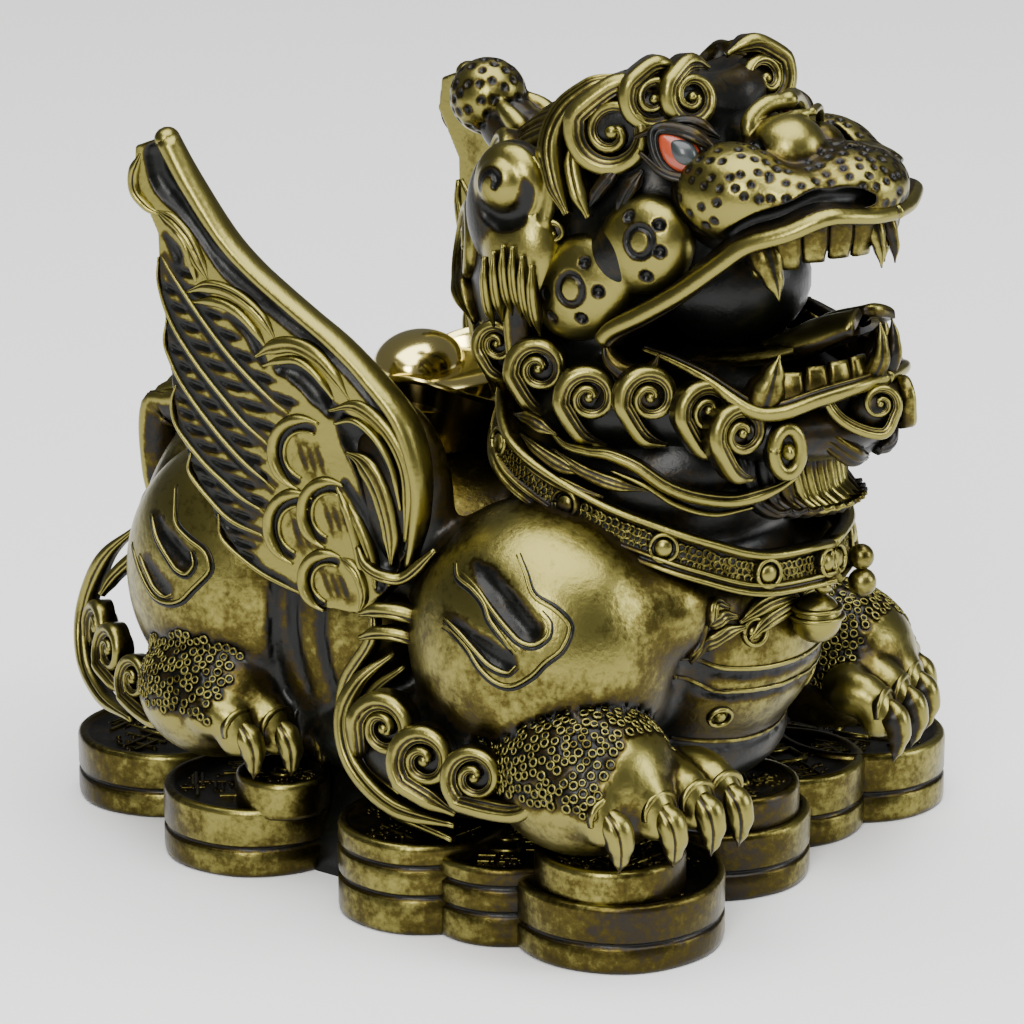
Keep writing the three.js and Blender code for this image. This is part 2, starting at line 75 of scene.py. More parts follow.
def closedRings(points, wearAndPaintedLight, around):
    # rings of points, one after another, joined to a tube that is closed at both ends
    rings = len(points) // around
    i, j = np.meshgrid(np.arange(rings - 1), np.arange(around), indexing="ij")
    a = i * around + j
    b = i * around + (j + 1) % around
    quads = np.stack([a, b, b + around, a + around], -1).reshape(-1, 4)
    faces = [quads[:, [0, 1, 2]], quads[:, [0, 2, 3]]]
    j = np.arange(around)
    for ring, flip in ((0, False), (rings - 1, True)):
        start = ring * around
        fan = np.stack([start + (j + 1) % around, start + j, np.full(around, len(points))], -1)
        faces.append(fan[:, ::-1] if flip else fan)
        points = np.vstack([points, points[start:start + around].mean(0)])
        wearAndPaintedLight = np.append(wearAndPaintedLight, wearAndPaintedLight[start:start + around].mean())
    return points, np.concatenate(faces), wearAndPaintedLight


def fullTurn(count):
    return np.linspace(0, 2 * math.pi, count, endpoint=False)


# paths and swept strands


def smoothPath(points, count):
    p = np.asarray(points, float)
    p = np.vstack([2 * p[0] - p[1], p, 2 * p[-1] - p[-2]])
    t = np.linspace(0, 1, 14, endpoint=False)[:, None]
    runs = []
    for a, b, c, d in zip(p[:-3], p[1:-2], p[2:-1], p[3:]):
        runs.append(0.5 * (2 * b + (c - a) * t + (2 * a - 5 * b + 4 * c - d) * t**2
                           + (3 * b - a - 3 * c + d) * t**3))
    dense = np.vstack([*runs, p[-2:-1]])
    length = np.concatenate([[0], np.cumsum(np.linalg.norm(np.diff(dense, axis=0), axis=1))])
    at = np.linspace(0, length[-1], count)
    return np.stack([np.interp(at, length, dense[:, k]) for k in range(3)], -1)


def along(values, t):
    # values given evenly from start to end, smoothed between
    values = np.atleast_1d(np.asarray(values, float))
    if len(values) == 1:
        return np.full(len(t), values[0])
    at = t * (len(values) - 1)
    low = np.clip(at.astype(int), 0, len(values) - 2)
    ease = at - low
    ease = ease * ease * (3 - 2 * ease)
    return values[low] * (1 - ease) + values[low + 1] * ease


def lockSection(grooves, depth=0.34, width=0.13, root=1.2, count=18):
    # a section goes once round a strand: across from -1 to 1, height, and how rubbed gold it is
    u = np.sin(np.linspace(-1, 1, count) * np.pi / 2)
    v = np.sqrt(np.clip(1 - u**2, 0, 1)) ** 0.8
    wearAndPaintedLight = 0.35 + 0.65 * np.clip(v * 1.35, 0, 1)
    for g in grooves:
        dip = np.exp(-(((u - g) / width) ** 2))
        v = v - depth * dip
        wearAndPaintedLight = wearAndPaintedLight * (1 - 0.97 * dip)
    wearAndPaintedLight[0] = wearAndPaintedLight[-1] = 0.1
    floor = np.array([[1, -root, 0.35], [-1, -root, 0.35]])
    return np.vstack([np.stack([u, v, wearAndPaintedLight], -1), floor])


def plainSection(root, count):
    return lockSection((), root=root, count=count)


def sweep(piece, path, width, height, outward, section, steps=36, side=1, wearAndPaintedLightAlong=None, snap=None,
          lift=0.0):
    points = smoothPath(path, steps + 1)
    if snap is not None:
        flip = np.array([side, 1, 1])
        points, outward = settle(snap, points * flip, lift)
        points, outward = points * flip, outward * flip
    elif callable(outward):
        outward = outward(points)
    t = np.linspace(0, 1, steps + 1)
    tangent = unit(np.gradient(points, axis=0))
    outward = np.broadcast_to(np.asarray(outward, float), points.shape)
    across = unit(np.cross(tangent, outward))
    raised = np.cross(across, tangent)
    w = along(width, t)[:, None]
    h = along(height, t)[:, None]
    u, v, wearAndPaintedLight = section.T
    rings = (points[:, None, :] + across[:, None, :] * (w * u)[..., None]
             + raised[:, None, :] * (h * v)[..., None])
    wearAndPaintedLight = np.broadcast_to(wearAndPaintedLight, (steps + 1, len(u)))
    if wearAndPaintedLightAlong is not None:
        wearAndPaintedLight = wearAndPaintedLight * along(wearAndPaintedLightAlong, t)[:, None]
    flat, faces, wearAndPaintedLight = closedRings(rings.reshape(-1, 3), wearAndPaintedLight.ravel(), len(u))
    addShell(piece, flat, faces, wearAndPaintedLight, side)
    sweptPaths.append((points * [side, 1, 1], np.minimum(w, h)[:, 0]))


sweptPaths = []

# forms carved in a block of small cells, joined with soft fillets


def newBlock(low, high, cell):
    low = np.asarray(low, float)
    shape = np.ceil((np.asarray(high, float) - low) / cell).astype(int) + 1
    return {"low": low, "cell": cell, "field": np.full(shape, 30, np.float32),
            "tone": np.full(shape, 0.8, np.float32)}


def part(block, low, high):
    shape = np.array(block["field"].shape)
    a = np.clip(np.floor((low - block["low"]) / block["cell"]).astype(int), 0, shape)
    b = np.clip(np.ceil((high - block["low"]) / block["cell"]).astype(int) + 1, 0, shape)
    if np.any(b <= a):
        return None, None
    window = tuple(slice(i, j) for i, j in zip(a, b))
    axes = [block["low"][k] + block["cell"] * np.arange(a[k], b[k]) for k in range(3)]
    grid = np.stack(np.meshgrid(*axes, indexing="ij"), -1).astype(np.float32)
    return window, grid


def merge(block, window, distance, blend, tone, carve=False):
    field = block["field"][window]
    tones = block["tone"][window]
    distance = distance.astype(np.float32)
    if carve:
        gap = np.maximum(blend - np.abs(field + distance), 0) / max(blend, 1e-6)
        joined = np.maximum(field, -distance) + gap * gap * blend / 4
        share = np.clip(0.5 + (-distance - field + 0.25) / max(blend, 0.5), 0, 1)
    else:
        gap = np.maximum(blend - np.abs(field - distance), 0) / max(blend, 1e-6)
        joined = np.minimum(field, distance) - gap * gap * blend / 4
        share = np.clip(0.5 + 0.5 * (field - distance) / max(blend, 0.5), 0, 1)
    block["field"][window] = joined
    block["tone"][window] = tones + (tone - tones) * share


def addBlob(block, centre, radii, blend, tone, pitch=0, sides=(1,), carve=False):
    radii = np.asarray(radii, float)
    p = math.radians(pitch)
    turn = np.array([[1, 0, 0], [0, math.cos(p), -math.sin(p)], [0, math.sin(p), math.cos(p)]])
    for side in sides:
        middle = np.array([side * centre[0], centre[1], centre[2]], float)
        reach = radii.max() + blend + 1.5
        window, grid = part(block, middle - reach, middle + reach)
        if window is None:
            continue
        local = (grid - middle.astype(np.float32)) @ turn.astype(np.float32)
        scaled = np.sqrt(((local / radii) ** 2).sum(-1))
        slope = np.sqrt(((local / radii**2) ** 2).sum(-1))
        distance = scaled * (scaled - 1) / np.maximum(slope, 1e-6)
        merge(block, window, distance, blend, tone, carve)


def addRope(block, path, radius, blend, tone, carve=False, sides=(1,), steps=None):
    points = np.asarray(path, float)
    if steps:
        points = smoothPath(points, steps + 1)
    sizes = along(radius, np.linspace(0, 1, len(points)))
    for side in sides:
        line = points * [side, 1, 1]
        reach = sizes.max() + blend + 1.2
        window, grid = part(block, line.min(0) - reach, line.max(0) + reach)
        if window is None:
            continue
        distance = np.full(grid.shape[:3], 30, np.float32)
        low = block["low"] + block["cell"] * np.array([s.start for s in window])
        for a, b, ra, rb in zip(line[:-1], line[1:], sizes[:-1], sizes[1:]):
            near = np.minimum(a, b) - reach, np.maximum(a, b) + reach
            i = np.clip(((near[0] - low) / block["cell"]).astype(int), 0, distance.shape)
            j = np.clip(((near[1] - low) / block["cell"]).astype(int) + 2, 0, distance.shape)
            cut = tuple(slice(m, n) for m, n in zip(i, j))
            local = grid[cut] - a.astype(np.float32)
            run = (b - a).astype(np.float32)
            t = np.clip((local @ run) / max(float(run @ run), 1e-9), 0, 1)
            gap = np.linalg.norm(local - t[..., None] * run, axis=-1) - (ra + (rb - ra) * t)
            distance[cut] = np.minimum(distance[cut], gap)
        merge(block, window, distance, blend, tone, carve)


def blockAxes(block):
    return [block["low"][k] + block["cell"] * np.arange(block["field"].shape[k]) for k in range(3)]


def polygonGap(outline, u, v):
    # distance to a closed outline in a plane, less than nothing inside it
    gap = np.full(np.broadcast(u, v).shape, 1e3)
    inside = np.zeros(gap.shape, bool)
    for (u0, v0), (u1, v1) in zip(outline, np.roll(outline, -1, axis=0)):
        t = np.clip(((u - u0) * (u1 - u0) + (v - v0) * (v1 - v0)) / ((u1 - u0) ** 2 + (v1 - v0) ** 2), 0, 1)
        gap = np.minimum(gap, np.hypot(u - u0 - t * (u1 - u0), v - v0 - t * (v1 - v0)))
        rise = v1 - v0 if v1 != v0 else 1e-9
        inside ^= np.broadcast_to(((v0 > v) != (v1 > v)) & (u < (u1 - u0) * (v - v0) / rise + u0), gap.shape)
    return np.where(inside, -gap, gap)


cellCorners = [np.array([i, j, k]) for i in (0, 1) for j in (0, 1) for k in (0, 1)]


def sample(values, block, points):
    at = (np.asarray(points, float) - block["low"]) / block["cell"]
    top = np.array(values.shape) - 2
    base = np.clip(np.floor(at).astype(int), 0, top)
    f = np.clip(at - base, 0, 1)
    total = 0
    for corner in cellCorners:
        shares = np.where(corner, f, 1 - f)
        total = total + shares[:, 0] * shares[:, 1] * shares[:, 2] * values[tuple((base + corner).T)]
    return total


def slopeAt(block, points):
    field = block["field"]
    columns = [sample(field, block, points + offset) - sample(field, block, points - offset)
               for offset in block["cell"] * np.eye(3)]
    return unit(np.stack(columns, -1))


def settle(block, points, lift=0.0):
    # moves points onto the carved surface, and gives its outward direction there
    points = np.array(points, float)
    for _ in range(8):
        normal = slopeAt(block, points)
        points -= normal * (sample(block["field"], block, points) - lift)[:, None] * 0.8
    normal = slopeAt(block, points)
    for _ in range(2):
        normal[1:-1] = unit(normal[:-2] + 2 * normal[1:-1] + normal[2:])
    return points, normal


def surfaceOf(block):
    field = block["field"]
    for axis in range(3):
        for edge in (0, -1):
            face = [slice(None)] * 3
            face[axis] = edge
            field[tuple(face)] = np.maximum(field[tuple(face)], block["cell"])
    inside = field < 0
    cells = tuple(n - 1 for n in field.shape)
    full = np.zeros(cells, np.uint8)
    for corner in cellCorners:
        full += inside[tuple(slice(i, i + n) for i, n in zip(corner, cells))]
    active = (full > 0) & (full < 8)
    where = np.argwhere(active)
    number = np.full(cells, -1, np.int32)
    number[active] = np.arange(len(where))
    total = np.zeros((len(where), 3))
    crossings = np.zeros(len(where))
    for a in cellCorners:
        for b in cellCorners:
            if (b - a).sum() != 1 or (b - a).min() < 0:
                continue
            fa = field[tuple((where + a).T)]
            fb = field[tuple((where + b).T)]
            cross = (fa < 0) != (fb < 0)
            t = np.where(cross, fa / np.where(fa == fb, 1, fa - fb), 0)
            total += cross[:, None] * (a + t[:, None] * (b - a))
            crossings += cross
    points = block["low"] + block["cell"] * (where + total / crossings[:, None])
    quads = []
    for axis in range(3):
        u, v = [(1, 2), (2, 0), (0, 1)][axis]
        first = [slice(None)] * 3
        second = [slice(None)] * 3
        first[axis] = slice(0, -1)
        second[axis] = slice(1, None)
        for k in (u, v):
            first[k] = second[k] = slice(1, -1)
        a, b = inside[tuple(first)], inside[tuple(second)]
        for leaving in (True, False):
            edge = np.argwhere((a & ~b) if leaving else (~a & b))
            edge[:, u] += 1
            edge[:, v] += 1
            ring = []
            for du, dv in ((1, 1), (0, 1), (0, 0), (1, 0)):
                cell = edge.copy()
                cell[:, u] -= du
                cell[:, v] -= dv
                ring.append(number[tuple(cell.T)])
            quad = np.stack(ring, -1)
            quads.append(quad if leaving else quad[:, ::-1])
    quads = np.concatenate(quads)
    faces = np.concatenate([quads[:, [0, 1, 2]], quads[:, [0, 2, 3]]])
    tone = sample(block["tone"], block, points)
    return points, faces, tone


# body, legs and neck

body = {
    "cell": 0.6,
    "fillet": 3.0,
    "footFillet": 1.2,
}
bodyBlock = newBlock([-47, -52, 7], [47, 61, 70], body["cell"])
# the sides of the figure: +x and -x
both = (1, -1)
# the belts across the chest
chestLines = [
    [[17.6, -38.4, 36.6], [13.2, -40.8, 34.3], [8.9, -43.7, 33.3], [3.1, -45.5, 32.9], [0, -45.8, 32.8]],
    [[18.4, -38, 33.8], [13, -39.8, 31.3], [9.3, -42.5, 30.4], [5.2, -44.1, 30.1], [0, -44.9, 30]],
    [[13.4, -34.5, 23.4], [11, -37, 22.6], [7.1, -38.9, 22], [1.8, -40.2, 21.5], [0, -40.3, 21.5]],
]


def carveBody(block):
    soft = body["fillet"]
    addBlob(block, [0, 10, 33], [24, 38, 21.5], soft, 0.9, 8)
    addBlob(block, [0, -28, 36], [19, 18, 18], soft, 0.95)
    addBlob(block, [0, -25, 56], [20, 21, 13], soft, 0.3, -20)
    addBlob(block, [0, 2, 20], [30, 42, 12], soft, 0.12)
    addBlob(block, [0, 42, 36], [24, 12, 21], soft, 0.8)
    addBlob(block, [21.5, 28, 37], [14.6, 17.5, 19], 2, 1, sides=both)
    addBlob(block, [22, -21, 37.5], [17, 18, 18.5], 2, 1, sides=(-1,))
    addBlob(block, [20.5, -17.5, 35.5], [17, 17.5, 18], 2, 1)
    addBlob(block, [15, -31, 42.4], [10.5, 10.6, 8], 2.5, 0.75, sides=both)
    addBlob(block, [31, -12, 22], [7.5, 16, 7.5], soft, 0.15, sides=both)
    addBlob(block, [27, -1, 54], [5, 8.5, 13], soft, 0.4, sides=both)
    addBlob(block, [23.2, 8.5, 33.5], [6.4, 9.5, 12.5], 2, 1, sides=both)
    # the join of arm and chest is cut sharp
    addRope(block, [[14.6, -41, 41], [14.8, -40.6, 36], [14.6, -40.6, 32], [15.5, -41, 26]], 0.9, 0.8, 0.0,
            True, both, 24)
    for line in chestLines:
        addRope(block, line, 0.46, 0.3, 0.0, True, both, 40)


carveBody(bodyBlock)
feet = {
    "front": {"centre": [29.5, -32, 23.5], "radii": [10.8, 12.5, 10.3], "drop": 5.2, "claw": 2.2,
              "toes": [[36.5, -37.7, 21.5], [30.5, -41.7, 21.3], [24.5, -43.4, 21.3], [19, -44, 21]]},
    "hind": {"centre": [30, 27, 23], "radii": [9.5, 11, 9], "drop": 4.8, "claw": 2.0,
             "toes": [[36.5, 20.5, 21], [32.2, 17.6, 20.6], [27, 16.5, 20.6]]},
}


def carveFeet(block):
    hard = body["footFillet"]
    for foot in feet.values():
        addBlob(block, foot["centre"], foot["radii"], hard, 0.85, sides=both)
        for toe in foot["toes"]:
            x, y, z = toe
            start = np.array(toe) * 0.55 + np.array(foot["centre"]) * 0.45
            line = [start, [x, y + 2.2, z + 1.8], [x, y - 0.8, z + 1.2], [x, y - 2.4, z - 1.0]]
            addRope(block, line, [3.2, 3.5, 3.1, 2.7], hard, 1.0, False, both, 10)


carveFeet(bodyBlock)
print("body forms carved")

# head

head = {"cell": 0.42, "fillet": 1.6}
headBlock = newBlock([-24, -62, 56], [24, 8, 112], head["cell"])
mouthProfile = np.array([
    [-25, 74], [-29.6, 77.2], [-34.7, 81.6], [-39.7, 86.4], [-44.7, 90.4], [-50.5, 93.4], [-56, 94.4],
    [-68, 94], [-68, 73.6], [-59, 73.4], [-54, 72], [-48, 70.6], [-40, 71], [-31, 72],
])


def cutMouth(block):
    # the mouth is open right through, in one profile seen from the side
    _, y, z = blockAxes(block)
    gap = polygonGap(mouthProfile, y[:, None], z[None, :])
    merge(block, (slice(None),) * 3, np.broadcast_to(gap, block["field"].shape), 1.0, 0.0, True)


def carveHead(block):
    soft = head["fillet"]
    addBlob(block, [0, -23, 86], [17, 20.3, 20], soft, 0.12)
    addBlob(block, [0, -12, 82], [18.6, 13, 20], 3, 0.08)
    addBlob(block, [0, -25, 100.6], [14.2, 10, 7.4], 3, 0.1)
    addRope(block, [[12.5, -22, 102], [10.5, -27, 104.6], [6.5, -31.5, 105.4], [0, -31, 104.6]],
            [4.2, 3.8, 3.2, 3], 2.0, 0.1, False, both, 16)
    addBlob(block, [0, -25, 67], [20, 21, 10.6], 3, 0.08, -10)
    addBlob(block, [0, -38, 66.5], [15.6, 19, 6.2], soft, 0.15, 2)
    addBlob(block, [0, -39.5, 92.6], [12.4, 16.6, 6.8], soft, 0.1, -10)
    addBlob(block, [14.4, -28.5, 87.6], [5, 9.4, 5], soft, 0.1, -38, sides=both)
    addBlob(block, [16.2, -21.4, 82.2], [3.8, 6.5, 4.8], soft, 0.1, -38, sides=both)
    cutMouth(block)
    addBlob(block, [0, -41, 89.5], [10.4, 14, 3.2], 1, 0.0, -14)
    addBlob(block, [0, -36, 71.4], [9.6, 16, 3.6], 1.5, 0.0, 4)


carveHead(headBlock)
print("head forms carved")


# materials and finishing of pieces


def srgb(code):
    parts = [int(code[i:i + 2], 16) / 255 for i in (1, 3, 5)]
    return tuple(p / 12.92 if p <= 0.04045 else ((p + 0.055) / 1.055) ** 2.4 for p in parts) + (1,)


def addNode(tree, kind, settings=None, inputs=None, links=None):
    node = tree.nodes.new(kind)
    for key, value in (settings or {}).items():
        setattr(node, key, value)
    for key, value in (inputs or {}).items():
        node.inputs[key].default_value = value
    for key, source in (links or {}).items():
        tree.links.new(source, node.inputs[key])
    return node


brassLook = {
    "gold": "#837C43",
    "deepGold": "#4D4520",
    "brown": "#261D0A",
    "black": "#060705",
    "goldRoughness": 0.31,
    "blackRoughness": 0.34,
    "wearGrain": 0.55,
    "upwardPaintedLight": 0.1,
    # where the colours stand between recess, 0, and edge, 1
    "blackAt": 0.14,
    "brownAt": 0.36,
    "deepGoldAt": 0.7,
    "blackMetal": 0.08,
    "blackShine": 0.28,
    "goldShine": 0.5,
    "grainStrength": 0.22,
    "grainHeight": 0.00025,
}


def addRange(tree, value, start, end, low=0.0, high=1.0, kind="LINEAR"):
    # start to end becomes low to high
    limits = {"From Min": start, "From Max": end, "To Min": low, "To Max": high}
    return addNode(tree, "ShaderNodeMapRange", {"interpolation_type": kind}, limits,
                   {"Value": value}).outputs[0]


# Cast brass, blackened with an antique wash and rubbed back by hand: dull gold on what stands out,
# near black and slightly glossy in the recesses, with a fine mottle where the two meet.
# the recesses are darkened by that wash and also by painted shade, both carried in the mesh
def makeBrass(look):
    material = bpy.data.materials.new("castBrassAntiqueFinish")
    material.use_nodes = True
    tree = material.node_tree
    tree.nodes.clear()
    place = addNode(tree, "ShaderNodeTexCoord").outputs["Object"]
    # the mesh's value from dark to gold: rubbed gold and black wash, with painted shade in recesses, broad
    # hollows and flame outlines
    wearAndPaintedLight = addNode(tree, "ShaderNodeAttribute", {"attribute_name": "wearAndPaintedLight"}).outputs["Fac"]
    # patterns by real size: brush grain 0.9 mm, wash mottle 4 mm, uneven rubbing 14 mm
    spread = wearAndPaintedLight
    grain = None
    for size, detail, share in ((0.9, 3.0, 0.55), (4.0, 4.0, 0.6), (14.0, 3.0, 0.45)):
        noise = addNode(tree, "ShaderNodeTexNoise", {},
                        {"Scale": 1000 / size, "Detail": detail, "Roughness": 0.62}, {"Vector": place})
        grain = grain or noise
        centred = addRange(tree, noise.outputs["Fac"], 0.3, 0.7, -0.5, 0.5)
        spread = addNode(tree, "ShaderNodeMath", {"operation": "MULTIPLY_ADD"},
                         {1: look["wearGrain"] * share}, {0: centred, 2: spread}).outputs[0]
    # upward faces are painted a little brighter than undersides: painted light from above
    normal = addNode(tree, "ShaderNodeTexCoord").outputs["Normal"]
    upright = addNode(tree, "ShaderNodeSeparateXYZ", {}, {}, {0: normal}).outputs["Z"]
    spread = addNode(tree, "ShaderNodeMath", {"operation": "MULTIPLY_ADD"}, {1: look["upwardPaintedLight"]},
                     {0: upright, 2: spread}).outputs[0]
    ramp = addNode(tree, "ShaderNodeValToRGB", {}, {}, {"Fac": spread})
    stops = ramp.color_ramp.elements
    stops[0].position, stops[0].color = look["blackAt"], srgb(look["black"])
    stops[1].position, stops[1].color = 1.0, srgb(look["gold"])
    for shade in ("brown", "deepGold"):
        stop = stops.new(look[shade + "At"])
        stop.color = srgb(look[shade])
    share = addRange(tree, spread, 0.12, 0.6, kind="SMOOTHSTEP")
    rough = addRange(tree, share, 0, 1, look["blackRoughness"], look["goldRoughness"])
    metal = addRange(tree, share, 0, 1, look["blackMetal"], 1.0)
    level = addRange(tree, share, 0, 1, look["blackShine"], look["goldShine"])
    bump = addNode(tree, "ShaderNodeBump", {},
                   {"Strength": look["grainStrength"], "Distance": look["grainHeight"]},
                   {"Height": grain.outputs["Fac"]})
    shader = addNode(tree, "ShaderNodeBsdfPrincipled", {}, {}, {
        "Base Color": ramp.outputs["Color"], "Roughness": rough, "Metallic": metal,
        "Specular IOR Level": level, "Normal": bump.outputs["Normal"]})
    addNode(tree, "ShaderNodeOutputMaterial", {}, {}, {"Surface": shader.outputs[0]})
    return material


brass = makeBrass(brassLook)


def makeObject(name, points, faces, wearAndPaintedLight, material):
    mesh = bpy.data.meshes.new(name)
    mesh.vertices.add(len(points))
    mesh.vertices.foreach_set("co", toFrame(points).astype(np.float32).ravel())
    mesh.loops.add(faces.size)
    mesh.loops.foreach_set("vertex_index", faces.astype(np.int32).ravel())
    mesh.polygons.add(len(faces))
    mesh.polygons.foreach_set("loop_start", np.arange(0, faces.size, 3, dtype=np.int32))
    mesh.polygons.foreach_set("loop_total", np.full(len(faces), 3, np.int32))
    mesh.polygons.foreach_set("use_smooth", np.full(len(faces), True))
    mesh.update(calc_edges=True)
    mesh.validate()
    # the value from dark to gold, with its painted shade and painted reflection, is stored on the mesh
    wearAndPaintedLight = np.clip(wearAndPaintedLight, 0, 1.3).astype(np.float32)
    mesh.attributes.new("wearAndPaintedLight", "FLOAT", "POINT").data.foreach_set("value", wearAndPaintedLight)
    mesh.materials.append(material)
    result = bpy.data.objects.new(name, mesh)
    bpy.context.scene.collection.objects.link(result)
    return result


# black wash and painted shade in recesses and hollows: reach in millimetres, the fullness at which the gold
# begins to darken, and how fast it does
washAndPaintedShade = {
    "fineReach": 1.4,
    "fineFullness": 0.47,
    "fineFall": 4.2,
    "broadReach": 5.0,
    "broadFullness": 0.34,
    "broadFall": 2.5,
}


def occupied(blocks):
    # how full the space is round each point, on a coarse grid: crevices are fuller than open faces
    low, high, cell = np.array([-50.0, -66, -2]), np.array([50.0, 64, 116]), 0.9
    shape = np.ceil((high - low) / cell).astype(int) + 1
    axes = [low[k] + cell * np.arange(shape[k]) for k in range(3)]
    full = np.zeros(shape, np.float32)
    for block in blocks:
        top = block["low"] + block["cell"] * (np.array(block["field"].shape) - 2)
        spans = [np.where((axes[k] > block["low"][k]) & (axes[k] < top[k]))[0] for k in range(3)]
        grid = np.stack(np.meshgrid(*[axes[k][spans[k]] for k in range(3)], indexing="ij"), -1)
        value = sample(block["field"], block, grid.reshape(-1, 3)).reshape(grid.shape[:3])
        cut = tuple(slice(s[0], s[-1] + 1) for s in spans)
        full[cut] = np.maximum(full[cut], np.clip(0.5 - value / cell, 0, 1))
    for line, size in sweptPaths:
        for p, r in zip(line[::2], size[::2]):
            i = np.maximum(((p - r - low) / cell).astype(int), 0)
            j = ((p + r - low) / cell).astype(int) + 2
            cut = tuple(slice(m, n) for m, n in zip(i, j))
            local = np.meshgrid(*[axes[k][i[k]:j[k]] - p[k] for k in range(3)], indexing="ij")
            gap = np.sqrt(sum(v * v for v in local)) - r
            full[cut] = np.maximum(full[cut], np.clip(0.5 - gap / cell, 0, 1))
    return {"low": low, "cell": cell, "field": blurred(full, washAndPaintedShade["fineReach"], cell),
            "broad": blurred(full, washAndPaintedShade["broadReach"], cell)}


def blurred(full, spread, cell):
    reach = int(math.ceil(2.5 * spread / cell))
    offsets = range(-reach, reach + 1)
    weights = np.array([math.exp(-0.5 * (k * cell / spread) ** 2) for k in offsets])
    for axis in range(3):
        total = np.zeros_like(full)
        for offset, weight in zip(offsets, weights / weights.sum()):
            total += weight * np.roll(full, offset, axis)
        full = total
    return full


def washAndPaintedShadeAt(space, points):
    # 0 in a narrow recess, 1 on an open face, over 1 on an edge; broad hollows are darker too. The darkening
    # of narrow recesses is the black antique wash together with painted shade; that of broad hollows is
    # painted shade
    fine = sample(space["field"], space, points) - washAndPaintedShade["fineFullness"]
    broad = sample(space["broad"], space, points) - washAndPaintedShade["broadFullness"]
    fine = np.clip(0.98 - fine * washAndPaintedShade["fineFall"], 0, 1.3)
    return fine * np.clip(1.12 - broad * washAndPaintedShade["broadFall"], 0.2, 1.12)


# curls and locks


def discAxes(facing):
    # a direction, and right and up in the plane across it
    facing = unit(facing)
    right = unit(np.cross([0, 0, 1], facing))
    return facing, right, np.cross(facing, right)


def curlLine(centre, radius, start, facing, hand, turns):
    # a spiral seen from outside: it starts at an angle, turns clockwise, and winds in to the middle
    facing, right, up = discAxes(facing)
    t = np.linspace(0, 1, 40)
    angle = math.radians(start) - hand * 2 * math.pi * turns * t
    reach = radius * (0.82 * (1 - t) ** 0.8 + 0.13)
    lift = radius * (0.1 - 0.25 * np.sin(np.pi * np.clip(t * 1.3, 0, 1)) * t)
    spiral = reach[:, None] * (np.cos(angle)[:, None] * right + np.sin(angle)[:, None] * up)
    return centre + spiral + lift[:, None] * facing


def circleOn(centre, facing, radius, count, tall=1):
    # a closed ring of points in the plane that faces a direction
    facing, right, up = discAxes(facing)
    turn = np.linspace(0, 2 * math.pi, count)[:, None]
    return centre + radius * (np.cos(turn) * right + tall * np.sin(turn) * up)


def addBall(piece, centre, radii, wearAndPaintedLight, facing=(0, 0, 1), rings=7, around=12, sides=(1,)):
    facing, right, up = discAxes(np.array(facing, float) + [0, 1e-4, 0])
    radii = np.broadcast_to(np.asarray(radii, float), 3)
    polar = np.linspace(0, math.pi, rings + 2)[1:-1]
    turn = fullTurn(around)
    ring = np.sin(polar)[:, None, None] * (np.cos(turn)[None, :, None] * right * radii[0]
                                           + np.sin(turn)[None, :, None] * up * radii[1])
    points = np.asarray(centre, float) + ring + np.cos(polar)[:, None, None] * facing * radii[2]
    wearAndPaintedLight = np.full(rings * around, wearAndPaintedLight, float)
    flat, faces, wearAndPaintedLight = closedRings(points.reshape(-1, 3), wearAndPaintedLight, around)
    flat[-2] = np.asarray(centre) + facing * radii[2]
    flat[-1] = np.asarray(centre) - facing * radii[2]
    for side in sides:
        addShell(piece, flat, faces, wearAndPaintedLight, side)


def addCurl(piece, centre, radius, start, facing, lead=(), hand=1, turns=1.75, band=0.29, sides=both,
            steps=64):
    # drawn as the near side shows it, then turned to +x; the lead is the strand before the curl
    flip = np.array([-1, 1, 1])
    centre, facing = np.array(centre, float), np.array(facing, float)
    line = curlLine(centre * flip, radius, start, facing * flip, hand, turns) * flip
    lead = np.array(lead, float).reshape(-1, 3)
    path = np.vstack([lead, line[(2 if len(lead) else 0):]])
    band = band * radius
    width = np.array([0.3, 1, 1.05, 1, 0.9, 0.72, 0.58, 0.5, 0.45]) * band
    height = np.array([0.2, 1.1, 1.2, 1.1, 1, 0.9, 0.8, 0.8, 0.7]) * band
    section = lockSection((-hand * 0.3, -hand * 0.72), 0.42, 0.14, 1.6, 20)
    out = unit(facing)
    for side in sides:
        sweep(piece, path, width, height, out, section, steps, side)
        addBall(piece, centre + out * radius * 0.12, radius * 0.18, 1.0, facing, 6, 10, (side,))
        addBall(piece, centre - out * radius * 0.42, [radius * 0.8, radius * 0.8, radius * 0.36], 0.12,
                facing, 7, 16, (side,))


def addLock(piece, path, width, height, outward, grooves, sides=both, steps=30, wearAndPaintedLight=1.0, snap=None, lift=0.0,
            root=1.2, count=18, depth=0.34, grooveWidth=0.13):
    section = lockSection(grooves, depth, grooveWidth, root, count)
    for side in sides:
        sweep(piece, path, width, height, outward, section, steps, side, wearAndPaintedLight, snap, lift)


mane = newPiece("pixiuManeAndCurls", brass)
outChin = [0.75, -0.62, -0.1]
# centre, radius, angle where the curl starts, turns
maneCurls = [
    ([17.6, -10.3, 73.7], 3.0, -100, 1.75),
    ([18.6, -17.6, 71.8], 3.9, -128, 1.62),
    ([20.2, -26.4, 69.8], 3.9, -128, 1.62),
    ([18.8, -34.6, 70.8], 3.9, -128, 1.62),
    ([16.6, -41.8, 69.8], 3.8, -128, 1.62),
    ([15.2, -45.8, 67.2], 3.9, -122, 1.62),
]


def leadIn(centre, radius, facing, steps):
    # points beside a curl, as the near side shows it: angle, reach, and depth under its plane
    _, right, up = discAxes(np.array(facing) * [-1, 1, 1])
    points = []
    for angle, reach, sink in steps:
        angle = math.radians(angle)
        away = (math.cos(angle) * right + math.sin(angle) * up) * radius * reach
        points.append(np.array(centre) + away * [-1, 1, 1] - unit(facing) * sink)
    return points


